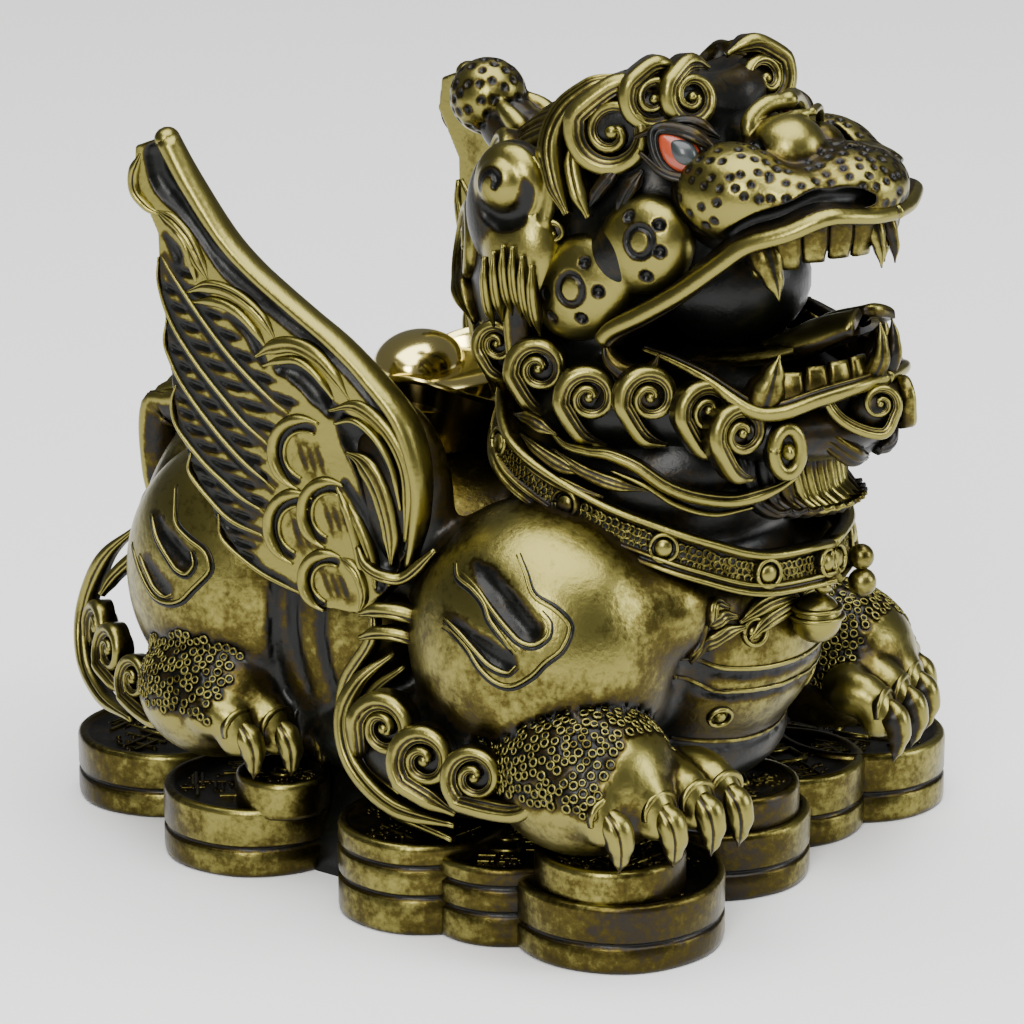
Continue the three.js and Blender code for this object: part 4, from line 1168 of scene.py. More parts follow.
def makeMouth():
    for side in both:
        sweep(face, upperLip, [1.3, 1.35, 1.3, 1.25, 1.2, 1.15, 1.1, 1.1],
              [1.4, 1.8, 1.8, 1.8, 1.8, 1.7, 1.6, 1.5], outFrom([0, -34, 0], -0.25),
              lockSection((-0.75,), 0.35, 0.2, 1.2, 18), 70, side)
        sweep(face, lowerLip, [0.4, 0.6, 0.8, 1.2, 1.25, 1.2, 1.1, 1.1],
              [0.6, 0.9, 1.2, 1.6, 1.6, 1.5, 1.4, 1.4], outFrom([0, -34, 0], 0.2),
              lockSection((0.7,), 0.35, 0.2, 1.2, 18), 70, side, [0.5, 0.6, 0.8, 1.1, 1.1])
        # a dark leaf of skin hangs at the corner of the mouth
        sweep(face, [[18.2, -27.6, 76.4], [18.4, -28.4, 74.6], [18, -30.6, 73.2], [17.6, -33.6, 73.6],
                     [17.6, -35.2, 76.2]],
              [0.6, 1.1, 1.3, 1.0, 0.2], [0.8, 1.2, 1.3, 1.0, 0.3], [0.95, -0.25, 0.1],
              lockSection((-0.2,), 0.3, 0.15, 1.2, 16), 24, side, 0.3)
    for row, tip, height in ((mouth["upperRow"], -1, 4.4), (mouth["lowerRow"], 1, 3.4)):
        line = smoothPath(row, mouth["teeth"] * 2 + 1)
        for k in range(mouth["teeth"]):
            middle = line[2 * k + 1]
            run = unit(line[2 * k + 2] - line[2 * k])
            out = unit(np.cross(run, [0, 0, 1]))
            out = out * (1 if out @ (middle - [0, -34, middle[2]]) > 0 else -1)
            half = np.linalg.norm(line[2 * k + 2] - line[2 * k]) * 0.49
            path = [middle - [0, 0, tip * 1.6], middle + [0, 0, tip * height * 0.5],
                    middle + np.array([0, 0, tip * height]) - out * 0.3]
            for side in both:
                sweep(face, path, [half, half, half * 0.82], [0.9, 0.95, 0.5], out, toothSection, 8, side,
                      [0.2, 0.4, 0.6])
    fangs = [
        ([[12, -46.2, 91.4], [12.6, -47.6, 89], [12.8, -48.8, 86.4], [12.5, -49.4, 84]], 2.6),
        ([[12.6, -47.2, 69.8], [12.8, -48.2, 72.4], [12.7, -49, 75], [12.5, -49.6, 77.2]], 2.8),
        ([[1.4, -55.4, 94], [1.6, -56.4, 91.6], [1.7, -57.2, 89.4], [1.6, -57.4, 87.2]], 1.5),
        ([[1.6, -56.4, 73], [1.6, -57.6, 75.6], [1.5, -57.6, 78.2], [1.4, -57.2, 80.2]], 1.5),
    ]
    for path, size in fangs:
        for side in both:
            sweep(face, path, [size, size * 0.82, size * 0.5, 0.12],
                  [size * 0.8, size * 0.7, size * 0.45, 0.1], [0.7, -0.7, 0],
                  lockSection((0.1,), 0.12, 0.1, 1, 16), 16, side, [0.25, 0.6, 0.85])
    # tongue: its edges are rubbed bright
    tongueLine = [[0, -27, 71], [0, -36, 73], [0, -44, 74.6], [0, -50.4, 77], [0, -54.0, 79.0]]
    tongueSection = np.array([[-1, 0.4, 1.1], [-0.82, 0.75, 0.9], [-0.6, 0.35, 0.1], [-0.1, 0.2, 0.05],
                              [0, 0.0, 0.0], [0.1, 0.2, 0.05], [0.6, 0.35, 0.1], [0.82, 0.75, 0.9],
                              [1, 0.4, 1.1], [0.9, -0.4, 0.6], [0.4, -0.8, 0.1], [-0.4, -0.8, 0.1],
                              [-0.9, -0.4, 0.6]])
    sweep(face, tongueLine, [8, 8.6, 8.6, 7.6, 4.0], [1.4, 1.6, 1.7, 1.6, 1.2], [0, -0.2, 1], tongueSection,
          40, 1, [0.3, 0.5, 0.9])
    # the throat is closed dark behind the tongue
    addBall(face, [0, -33, 82.5], [11, 11.5, 9.5], 0.0, (0, 0, 1), 12, 24)
    addLock(face, [[4.4, -42, 75.6], [4.2, -48, 77.6], [3, -54.6, 80.4]], [0.6, 3.4, 2.6], [0.5, 1.3, 0.9],
            [0.2, -0.3, 1], (), both, 20, 0.85, None, 0.0, 0.8)


def makeBrow():
    # heavy dark lids round the eye and folds behind it: path, half width, and how rubbed gold it is
    lids = [
        ([[11, -39.6, 100.9], [12.6, -36.6, 103.2], [13.8, -32.8, 103.8], [15.2, -29.6, 102.6]], 1.0, 0.25),
        ([[11.6, -39.2, 99.3], [13.6, -37.6, 98.2], [15.4, -34.4, 98.6], [15.6, -30.6, 100.8]], 0.7, 0.2),
        ([[15.2, -30.8, 98.6], [16.2, -29, 95.4], [16.8, -28, 92.4]], 1.0, 0.14),
        ([[15.8, -27.8, 98.8], [16.8, -25.6, 96], [17.4, -24.2, 93.4]], 1.0, 0.12),
        ([[9.4, -38.4, 102.6], [11.4, -35.4, 104.4], [13.4, -31.8, 104]], 1.0, 0.12),
    ]
    for path, size, wearAndPaintedLight in lids:
        addLock(face, path, [0.3, size, size * 0.9, 0.3], [0.4, size * 1.1, size, 0.4], [0.85, -0.5, 0.2],
                (0.2,), both, 30, wearAndPaintedLight)
    addCurl(face, [17.8, -19.2, 89.4], 2.1, -100, [0.95, -0.35, 0.1], [[18.2, -17.6, 86.2]], 1, 1.2, 0.3,
            both, 36)


makeMouth()
makeBrow()

# eyes: painted enamel set in the casting

eye = {"centre": [13.6, -35.4, 100.9], "facing": [0.8, -0.5, 0.33], "long": 3.5, "tall": 2.2, "bulge": 1.4,
       "tilt": -40, "pupilLong": 2.3, "pupilTall": 1.55}


# Enamel paint, brushed on over the brass: glossy and slightly uneven, orange-red round a dark grey pupil.
def makeEnamel(name, code, roughness):
    material = bpy.data.materials.new(name)
    material.use_nodes = True
    tree = material.node_tree
    shader = tree.nodes["Principled BSDF"]
    place = addNode(tree, "ShaderNodeTexCoord").outputs["Object"]
    mottle = addNode(tree, "ShaderNodeTexNoise", {}, {"Scale": 900.0, "Detail": 2.0}, {"Vector": place})
    dark = tuple(0.6 * c for c in srgb(code)[:3]) + (1,)
    shade = addNode(tree, "ShaderNodeMix", {"data_type": "RGBA"}, {6: dark, 7: srgb(code)},
                    {0: mottle.outputs["Fac"]})
    tree.links.new(shade.outputs[2], shader.inputs["Base Color"])
    shader.inputs["Roughness"].default_value = roughness
    shader.inputs["Coat Weight"].default_value = 0.4
    return material


orangeEnamel = makeEnamel("orangeRedEnamelPaint", "#AC4526", 0.3)
greyEnamel = makeEnamel("darkGreyEnamelPaint", "#2A3132", 0.42)
eyes = newPiece("pixiuEyes", orangeEnamel)
pupils = newPiece("pixiuPupils", greyEnamel)


def eyeAxes(facing):
    # outward, along and across the tilted eye, as the near side shows it
    facing, right, up = discAxes(facing)
    a = math.radians(eye["tilt"])
    return facing, math.cos(a) * right + math.sin(a) * up, -math.sin(a) * right + math.cos(a) * up


def addAlmond(piece, centre, facing, long, tall, bulge):
    # worked out for the near side and turned to +x
    flip = np.array([-1, 1, 1])
    facing, alongEye, acrossEye = eyeAxes(facing * flip)
    around = 36
    turn = fullTurn(around)
    points = []
    for share in np.sin(np.linspace(0.02, 1, 10) * math.pi / 2):
        u = np.cos(turn) * share
        v = np.sin(turn) * share * (1 - 0.35 * np.abs(np.cos(turn)) ** 2)
        points.append(centre * flip + long * u[:, None] * alongEye + tall * v[:, None] * acrossEye
                      + bulge * math.sqrt(max(1 - share**2, 0)) * facing)
    points.append(points[-1] - facing * bulge)
    flat = np.concatenate(points) * flip
    flat, faces, wearAndPaintedLight = closedRings(flat, np.ones(len(flat)), around)
    for side in both:
        addShell(piece, flat, faces, wearAndPaintedLight, side)


def makeEyes():
    centre = np.array(eye["centre"])
    facing = unit(eye["facing"])
    addAlmond(eyes, centre, facing, eye["long"], eye["tall"], eye["bulge"])
    addAlmond(pupils, centre + facing * 0.38 + [0, -0.45, 0.1], facing, eye["pupilLong"], eye["pupilTall"],
              eye["bulge"] - 0.2)
    flip = np.array([-1, 1, 1])
    _, alongEye, acrossEye = eyeAxes(facing * flip)
    turn = np.linspace(0, 2 * math.pi, 26)
    v = np.sin(turn) * (1 - 0.35 * np.abs(np.cos(turn)) ** 2)
    for grow, size, wearAndPaintedLight in ((1.12, 0.45, 0.0), (1.32, 0.5, 0.1)):
        rim = eye["long"] * np.cos(turn)[:, None] * alongEye + eye["tall"] * v[:, None] * acrossEye
        rim = (centre * flip + grow * rim) * flip
        for side in both:
            sweep(face, rim, size, size * 1.5, facing, plainSection(2.0, 10), 60, side, wearAndPaintedLight)


def makeEarLocks():
    # the gold locks of the tassel under the ear, between the dark grooves of its block
    for k in range(6):
        y, top = -18.7 + 1.45 * k, 88.6 - 1.0 * abs(k - 2.5)
        path = [[21.9, y, top], [22.2, y - 0.2, top - 3.2], [21.5, y - 0.1, top - 6.0],
                [19.8, y + 0.1, top - 9.6]]
        addLock(face, path, [0.3, 0.62, 0.7, 0.12], [0.4, 0.7, 0.8, 0.2], [1, -0.15, 0.15], (0.0,), both, 22)


makeEyes()
makeEarLocks()
print("face made")


# what repeats: rings, studs and strokes set out on the surface by geometry nodes


def makeSettingTree(name, shape):
    tree = bpy.data.node_groups.new(name, "GeometryNodeTree")
    tree.interface.new_socket("Places", in_out="INPUT", socket_type="NodeSocketGeometry")
    for label, value in (("Reach", 0.0005), ("Wire", 0.0002)):
        socket = tree.interface.new_socket(label, in_out="INPUT", socket_type="NodeSocketFloat")
        socket.default_value = value
    finish = tree.interface.new_socket("Finish", in_out="INPUT", socket_type="NodeSocketMaterial")
    finish.default_value = brass
    tree.interface.new_socket("Set", in_out="OUTPUT", socket_type="NodeSocketGeometry")
    given = addNode(tree, "NodeGroupInput").outputs
    facing = addNode(tree, "GeometryNodeInputNamedAttribute", {"data_type": "FLOAT_VECTOR"},
                     {"Name": "facing"})
    size = addNode(tree, "GeometryNodeInputNamedAttribute", {"data_type": "FLOAT"}, {"Name": "size"})

    def circle(corners, reach):
        return addNode(tree, "GeometryNodeCurvePrimitiveCircle", {}, {"Resolution": corners},
                       {"Radius": reach}).outputs[0]

    if shape == "stud":
        solid = addNode(tree, "GeometryNodeMeshIcoSphere", {}, {"Subdivisions": 1},
                        {"Radius": given["Reach"]})
    else:
        if shape == "ring":
            path, profile = circle(9, given["Reach"]), circle(4, given["Wire"])
        else:
            end = addNode(tree, "ShaderNodeCombineXYZ", {}, {}, {"X": given["Reach"]}).outputs[0]
            start = addNode(tree, "ShaderNodeVectorMath", {"operation": "SCALE"}, {"Scale": -1.0},
                            {0: end}).outputs[0]
            path = addNode(tree, "GeometryNodeCurvePrimitiveLine", {}, {},
                           {"Start": start, "End": end}).outputs[0]
            profile = circle(6, given["Wire"])
        solid = addNode(tree, "GeometryNodeCurveToMesh", {}, {"Fill Caps": shape == "stroke"},
                        {"Curve": path, "Profile Curve": profile})
    axis = "X" if shape == "stroke" else "Z"
    turned = addNode(tree, "FunctionNodeAlignRotationToVector", {"axis": axis}, {},
                     {"Vector": facing.outputs[0]})
    copies = addNode(tree, "GeometryNodeInstanceOnPoints", {}, {}, {
        "Points": given["Places"], "Instance": solid.outputs[0], "Rotation": turned.outputs[0],
        "Scale": size.outputs[0]})
    real = addNode(tree, "GeometryNodeRealizeInstances", {}, {}, {"Geometry": copies.outputs[0]})
    painted = addNode(tree, "GeometryNodeSetMaterial", {}, {},
                      {"Geometry": real.outputs[0], "Material": given["Finish"]})
    addNode(tree, "NodeGroupOutput", {}, {}, {"Set": painted.outputs[0]})
    return tree


settingTrees = {shape: makeSettingTree(shape + "Setting", shape) for shape in ("ring", "stroke", "stud")}


def setOut(name, shape, places, facing, size, wearAndPaintedLight, reach, wire=0.2):
    # sets copies of a shape out on its places, sizes in millimetres, and gives one plain mesh object
    tree = settingTrees[shape]
    mesh = bpy.data.meshes.new(name + "Places")
    mesh.from_pydata([tuple(p) for p in toFrame(places)], [], [])
    count = len(places)
    facing = np.asarray(facing, np.float32).ravel()
    mesh.attributes.new("facing", "FLOAT_VECTOR", "POINT").data.foreach_set("vector", facing)
    for label, values in (("size", size), ("wearAndPaintedLight", wearAndPaintedLight)):
        values = np.broadcast_to(np.asarray(values, np.float32), count).copy()
        mesh.attributes.new(label, "FLOAT", "POINT").data.foreach_set("value", values)
    holder = bpy.data.objects.new(name + "Places", mesh)
    bpy.context.scene.collection.objects.link(holder)
    modifier = holder.modifiers.new("setting", "NODES")
    modifier.node_group = tree
    named = {item.name: item.identifier for item in tree.interface.items_tree if item.in_out == "INPUT"}
    modifier[named["Reach"]] = reach / 1000
    modifier[named["Wire"]] = wire / 1000
    modifier[named["Finish"]] = brass
    bpy.context.view_layer.update()
    ready = holder.evaluated_get(bpy.context.evaluated_depsgraph_get())
    result = bpy.data.objects.new(name, bpy.data.meshes.new_from_object(ready))
    bpy.context.scene.collection.objects.link(result)
    bpy.data.objects.remove(holder)
    for polygon in result.data.polygons:
        polygon.use_smooth = True
    print(name, count, "places")
    return result


settings = []


def setOutBothSides(name, shape, places, facing, *rest):
    for side, label in ((1, "Right"), (-1, "Left")):
        flip = np.array([side, 1, 1])
        settings.append(setOut(name + label, shape, places * flip, facing * flip, *rest))


# the pebbled legs, in millimetres: how close the rings stand, their radius, wire and pit
pawRing = {"spacing": 0.98, "radius": 0.46, "wire": 0.17, "pit": 0.62}


def setPawRings():
    places, facing = [], []
    for centre, reach, count, keep in (
        ([29.5, -31, 25], [11, 12.5, 10], 470,
         lambda p: (p[:, 2] > 22.4) & (p[:, 1] > -40.6) & (p[:, 1] < -21)),
        ([30, 28, 24], [10, 11, 9], 320, lambda p: (p[:, 2] > 22.4) & (p[:, 1] > 20) & (p[:, 1] < 38)),
    ):
        spots, normals = scatterOn(bodyBlock, centre, reach, count, pawRing["spacing"], 31, keep)
        outside = (normals[:, 2] > -0.2) & (spots[:, 0] > 19)
        places.append(spots[outside])
        facing.append(normals[outside])
    places, facing = np.concatenate(places), np.concatenate(facing)
    grain = np.random.default_rng(4)
    size = 0.85 + 0.35 * grain.random(len(places))
    wearAndPaintedLight = 0.75 + 0.4 * grain.random(len(places))
    setOutBothSides("pawRings", "ring", places + facing * 0.02, facing, size, wearAndPaintedLight, pawRing["radius"],
                    pawRing["wire"])
    # the pits inside the rings are dark
    for place in places:
        for side in both:
            addBlob(bodyBlock, place * [side, 1, 1], [pawRing["pit"]] * 3, 0.2, 0.0, carve=True)


setPawRings()

# collar, rope and bell

collar = {
    "line": [[0, -49.9, 47.4], [10.2, -46, 47.7], [15.8, -40.6, 49.9], [18.8, -35, 51.9],
             [21.4, -29.2, 54.2], [22.8, -21.6, 57.6], [21.8, -15.4, 60.6], [16.5, -10.4, 63.4],
             [8, -6, 65.4], [0, -4.5, 66]],
    "halfWidth": 2.9,
    "thickness": 1.5,
    "netRadius": 0.5,
    "netWire": 0.17,
    "bosses": [0.0, 0.145, 0.33, 0.51, 0.69, 0.86],
}
ornaments = newPiece("pixiuCollarAndCurls", brass)
collarOut = outFrom([0, -24, 0], 0.12)


def makeCollar():
    band = np.array([[-1, -0.6, 0.3], [-1, 0.75, 0.9], [-0.9, 1, 1.1], [-0.76, 0.75, 0.5],
                     [-0.7, 0.3, 0], [-0.6, 0.75, 0.6], [-0.5, 0.95, 1], [-0.42, 0.7, 0.5],
                     [-0.36, 0.25, 0.05], [0, 0.3, 0.12], [0.5, 0.25, 0.05], [0.62, 0.7, 0.7],
                     [0.76, 1, 1.1], [0.92, 0.9, 1], [1, 0.4, 0.4], [1, -0.6, 0.2]])
    for side in both:
        sweep(ornaments, collar["line"], collar["halfWidth"], collar["thickness"], collarOut,
              band[::-1] * [-1, 1, 1], 90, side)


def setCollarNet():
    # a net of small rings between the rims, left open round each boss
    half = collar["halfWidth"]
    line = smoothPath(collar["line"], 200)[3:-12]
    out = collarOut(line)
    run = unit(np.gradient(line, axis=0))
    across = unit(np.cross(run, out))
    random = np.random.default_rng(12)
    places, facing = [], []
    for k in range(0, len(line), 2):
        for row, shift in enumerate((-0.26, 0.04, 0.34)):
            at = min(k + row % 2, len(line) - 1)
            place = line[at] + across[at] * (shift + 0.03 * random.standard_normal()) * half
            place = place + out[at] * collar["thickness"] * 0.32
            places.append(place + run[at] * 0.12 * random.standard_normal())
            facing.append(out[at])
    places, facing = np.array(places), np.array(facing)
    size = 0.8 + 0.35 * random.random(len(places))
    bossAt = np.clip(np.array(collar["bosses"]) * 199 - 3, 0, len(line) - 1).astype(int)
    for i in bossAt:
        middle = line[i] + out[i] * collar["thickness"] * 0.5
        clear = np.linalg.norm(places - middle, axis=1) > 1.9
        places, facing, size = places[clear], facing[clear], size[clear]
        for side in both:
            addBall(ornaments, middle, [1.25, 1.25, 0.6], 0.9, out[i], 6, 16, (side,))
            sweep(ornaments, circleOn(middle, out[i], 1.75, 22), 0.3, 0.5, out[i], plainSection(1.5, 7), 26,
                  side, 0.8)
    setOutBothSides("collarNet", "ring", places, facing, size, 0.75, collar["netRadius"], collar["netWire"])


# one bell hangs at the chest, its ribbon tied beside it
bellForm = {
    "place": np.array([0, -48, 39.4]),
    "radius": 3.3,
    # height over the middle, then radius
    "belts": [(1.5, 3.1), (0.4, 3.42)],
    "cap": [1.2, 1.2, 1],
    "beads": [([6.5, -50.6, 46.4], 1.7), ([6.5, -50.8, 43], 1.9), ([4, -48.4, 44.6], 1.1)],
    # path, then half width
    "ribbon": [
        ([[0.5, -48.8, 43], [4, -47.6, 43.4], [7.6, -45.6, 42.6], [10.6, -43.6, 40.6]], 1.2),
        ([[0.5, -48.8, 42.2], [4, -47.6, 41.4], [7.4, -45.8, 40.2], [9.6, -44.4, 38.2]], 1.1),
        ([[10.6, -43.4, 41.4], [13, -41.6, 41.8], [15, -39.4, 40.8], [16.4, -37.4, 39]], 1.2),
        ([[10.0, -44.0, 40.0], [12.6, -42.2, 39.4], [14.6, -40.4, 38], [15.8, -38.8, 36.2]], 1.1),
        ([[11.6, -43.2, 43], [14, -40.8, 43.6], [16.2, -38.2, 42.8]], 0.9),
    ],
}


def makeBell():
    bell = bellForm["place"]
    for place, size in bellForm["beads"]:
        addBall(ornaments, place, size, 0.55, (0, 0, 1), 8, 16)
    addBall(ornaments, bell, bellForm["radius"], 0.9, [0, -1, 0.3], 12, 24)
    for z, size in bellForm["belts"]:
        turn = np.linspace(0, 2 * math.pi, 32)
        belt = bell + np.stack([size * np.cos(turn), size * np.sin(turn), np.full(32, z)], -1)
        sweep(ornaments, belt, 0.3, 0.35, outFrom(bell), plainSection(1.5, 8), 44)
    addBall(ornaments, bell + [0, -0.8, 4.4], bellForm["cap"], 1.0, [0, -0.3, 1], 8, 16)
    for path, size in bellForm["ribbon"]:
        addLock(ornaments, path, [0.4, size, size, 0.3], [0.5, size * 0.8, size * 0.8, 0.4], collarOut,
                (-0.3, 0.3), both, 26, 0.9, bodyBlock, 0.2)


def makeChestTrim():
    # round studs on the chest, each in a ring
    for place, size in (([8.3, -44, 38.9], 1.7), ([10.5, -40.3, 27.3], 1.5)):
        spot, normal = settleLoose(bodyBlock, [place])
        ring = circleOn(spot[0], normal[0], size, 24)
        for side in both:
            sweep(ornaments, ring, 0.32, 0.5, normal[0], plainSection(1.5, 8), 30, side)
            addBall(ornaments, spot[0], [size * 0.6, size * 0.6, 0.6], 0.9, normal[0], 6, 14, (side,))
    # edges of the chest bands
    for line in chestLines:
        addLock(ornaments, np.array(line) + [0, 0, 0.85], [0.3, 0.35, 0.35], [0.3, 0.3, 0.3], collarOut, (),
                both, 34, 1.0, bodyBlock, 0.0)


def makeBeard():
    # fluted locks under the chin that hook forward at their ends
    for x, bend, wearAndPaintedLight in ((0.9, 0.0, 0.9), (2.7, 0.3, 1.0), (4.5, 0.9, 1.0), (6.3, 1.8, 0.35),
                         (8.1, 3.0, 0.2), (9.8, 4.4, 0.15)):
        addLock(ornaments, [[x * 0.9, -42 + bend, 64.5], [x * 1.05, -47.4 + bend, 62.6],
                            [x * 1.05, -48.4 + bend, 59.4], [x * 0.98, -49.4 + bend, 56.6],
                            [x * 0.9, -51.8 + bend, 55.4], [x * 0.85, -53.6 + bend, 56.0]],
                [0.6, 1.05, 1.1, 1.1, 0.9, 0.3], [0.7, 1.1, 1.2, 1.2, 1.0, 0.3], [0.1 + 0.05 * x, -1, 0.3],
                (0.0,), both, 30, wearAndPaintedLight)


makeCollar()
setCollarNet()
makeBell()
makeChestTrim()
makeBeard()

# flames on the shoulder and haunch: two hollows, and along the tongues between, nearly flush dark lines of
# painted shade with raised gold rims beside them

flames = [
    {"hollows": [([[34.1, -18.7, 50.3], [35.5, -22.1, 48.6], [36.4, -25.2, 46.3], [36.2, -28.2, 43.6]], 1.7),
                 ([[37.4, -16.7, 44.2], [38.3, -19.7, 42.6], [38.6, -22.8, 41.1], [38.1, -26.2, 39.6]],
                  1.2)],
     "middle": [37, -24.5, 43.5],
     "lines": [
         [[32.2, -24.3, 52], [33.4, -26.4, 50.1], [34.3, -28.2, 48], [33.6, -30.8, 46.6],
          [33.1, -32.7, 44.9], [33.4, -33.1, 43.4], [34.6, -32.6, 41.2], [36, -31, 39.5],
          [36.9, -29.7, 37.8], [37.9, -27.3, 36.2], [38.6, -25, 36.4], [39, -22.7, 38], [38.8, -20.6, 40.2],
          [38.3, -17.9, 41.7], [37.9, -16.2, 42.1]],
         [[33.8, -15.1, 49.4], [35.5, -16.8, 47.9], [36.5, -19.7, 47.1], [37.2, -21.9, 45.9],
          [37.8, -23.2, 44.2], [37.9, -25.3, 42.3], [37.8, -27.1, 40.6]],
         [[35.2, -16.9, 48.6], [36.2, -20.2, 47.3], [37.1, -23.2, 45.2], [37.4, -25.6, 43.4],
          [37.2, -27.6, 41.9], [36.5, -29.6, 41.6], [35.3, -31, 42.9], [34.7, -30.9, 44.8],
          [34.9, -29.6, 46.2]],
         [[37.7, -16.2, 43], [38.4, -19.3, 41.7], [38.7, -21.8, 40.1], [38.8, -24.1, 38.5],
          [38.2, -26.6, 37.8], [37.6, -27.9, 38.9]]]},
    {"hollows": [([[32.6, 35.2, 47.2], [34.2, 32.6, 45.3], [35.1, 29.9, 43.7], [35.5, 27.6, 42.5]], 1.25),
                 ([[33.9, 36.2, 41.8], [35, 33.9, 40.4], [35.7, 31.9, 38.9], [36, 30.4, 37.8]], 0.85)],
     "middle": [35.5, 31, 41],
     "lines": [
         [[30.9, 32.2, 50.8], [32.6, 31, 49.1], [33.9, 29.7, 46.8], [34.6, 27.2, 45.5], [34.7, 24.4, 44.3],
          [34.9, 23.2, 42.6], [35.2, 23.3, 41], [35.9, 25.5, 38.5], [36.1, 27.5, 36.5], [36, 30.1, 35.6],
          [35.5, 32.9, 35.9], [34.8, 35.3, 37.5], [33.5, 37.7, 39.6], [31.8, 39.8, 41.3]],
         [[32.5, 35.8, 46.2], [34.3, 33.3, 43.7], [35.4, 30.8, 41.9], [35.8, 28.7, 40.4], [35.9, 26.7, 40.2],
          [35.4, 25.5, 42], [35.1, 26.2, 43.8]],
         [[33.7, 36.9, 40.7], [34.9, 34.8, 38.9], [35.5, 32.9, 37.1], [35.9, 30.8, 36.3],
          [36.1, 29.2, 36.9]]]},
]


def makeFlames():
    thin = plainSection(1.5, 8)
    for flame in flames:
        for side in both:
            flip = np.array([side, 1, 1])
            carved = []
            for path, size in flame["hollows"]:
                line, normal = settle(bodyBlock, smoothPath(path, 26) * flip)
                carved.append((line + normal * 0.7,
                               along([0.35, 0.75, 1.0, 1.0], np.linspace(0, 1, 26)) * size * 1.2))
            for path in flame["lines"]:
                line, normal = settle(bodyBlock, smoothPath(path, 60) * flip)
                line, normal = line * flip, normal * flip
                across = unit(np.cross(unit(np.gradient(line, axis=0)), normal))
                inward = np.sign(np.sum(across * (np.array(flame["middle"]) - line)))
                # a nearly flush dark line of painted shade along the tongue's edge, and a raised gold rim
                # just inside it
                sweep(ornaments, line, [0.1, 0.24, 0.26, 0.24, 0.1], [0.05, 0.14, 0.14, 0.14, 0.05], normal,
                      thin * [1, 1, 0], 59, side, 0.0)
                sweep(ornaments, line + across * inward * 0.52, [0.1, 0.27, 0.27, 0.27, 0.1],
                      [0.1, 0.4, 0.42, 0.4, 0.1], normal, thin, 59, side, 1.2)
            for line, size in carved:
                addRope(bodyBlock, line, size, 0.4, 0.02, True)


makeFlames()

# curls behind the legs, and the tail

legCurls = [
    ([38.3, -7.6, 27.1], 4.3, [0.97, -0.15, 0.1], -150, [[36.4, -2.2, 20.4]]),
    ([39.2, -14.6, 24.5], 4.5, [0.96, -0.2, 0.12], -90, [[38.4, -18.6, 17.8]]),
    ([39.4, -22.6, 24], 4.1, [0.95, -0.25, 0.12], -80, [[38.6, -32.4, 23.4], [39.6, -28.8, 20.6]]),
    ([26, 51, 25.8], 3.5, [0.8, 0.55, 0.1], -140, [[24.4, 54, 20.6]]),
    ([29.6, 45.6, 24.6], 3.7, [0.86, 0.45, 0.12], -90, [[30.2, 42.6, 18.6]]),
    ([33, 38.6, 22.8], 3.5, [0.9, 0.3, 0.12], -80, [[35.6, 30.4, 20.4], [35.2, 33.6, 18.6]]),
]


def makeLegCurls():
    for centre, radius, facing, start, lead in legCurls:
        addCurl(ornaments, centre, radius, start, facing, lead, 1, 1.7, 0.3)
    locks = [
        ([[32.6, -4.8, 35], [35.6, -1.4, 31.4], [37, 0.2, 26.4], [37.8, -2.2, 20.6], [38.4, -9, 16.6],
          [38.2, -18.4, 16.2]], 1.3),
        ([[32.8, -6.6, 33.6], [35, -3.2, 30.2], [36.2, -2.2, 26], [36.6, -3.4, 21],
          [37.6, -9.4, 18.4]], 0.8),
        ([[22, 47, 40], [23.4, 52, 35], [23.6, 55.6, 27], [26, 53.6, 20.5], [30, 47, 17.6],
          [33.6, 39, 17.2]], 1.2),
        ([[22, 45, 38], [24, 49.4, 33.4], [25.4, 51, 30.4]], 0.9),
        ([[31.4, -10.6, 49.6], [32.4, -6.6, 45.6], [33.6, -4, 45.4], [33.8, -1.2, 46.4],
          [33, 0.6, 48.4]], 0.8),
        ([[30.6, -11, 38.6], [33, -7.6, 40.8], [34.6, -4, 41.2], [34.8, -1, 40.2]], 1.1),
        ([[30.6, -10.6, 35.8], [33, -7.4, 37.8], [34.6, -4, 38.2], [34.8, -1, 37]], 1.0),
        ([[31, 0.4, 44], [33, -1.6, 37], [33.4, 2.6, 29.4], [34.4, 1.6, 22], [36, -6, 15.6],
          [38.2, -18, 14.2]], 1.0),
    ]
    for path, size in locks:
        addLock(ornaments, path, [0.4, size, size, size * 0.9, 0.4],
                [0.5, size * 0.9, size, size * 0.9, 0.5], [0.93, 0, 0.15], (0.3,), both, 44)


def makeTail():
    for x in (0.0, 1.9, 3.8, 5.6):
        lean = 0.12 * x
        addLock(ornaments, [[x, 38, 50 - lean], [x * 1.2, 46.6, 57 - lean * 4],
                            [x * 1.25, 53, 57.2 - lean * 6], [x * 1.25, 57.2 - lean, 52],
                            [x * 1.2, 58.4 - lean * 2, 43], [x * 1.0, 56.6 - lean, 33], [x * 0.8, 57.6, 28]],
                [0.6, 1.1, 1.2, 1.2, 1.1, 0.9, 0.3], [0.8, 1.6, 1.8, 1.8, 1.6, 1.2, 0.5],
                outFrom([0, 30, 0], 0.7), (0.0,), both, 44, 1.0, None, 0.0, 2.2)
    addCurl(ornaments, [9.6, 54.6, 36.4], 5.2, -80, [0.3, 1, 0.1], [[5, 55, 28], [7, 56, 29.4]], turns=1.6)


makeLegCurls()
makeTail()

# toes and claws

toes = newPiece("pixiuClaws", brass)


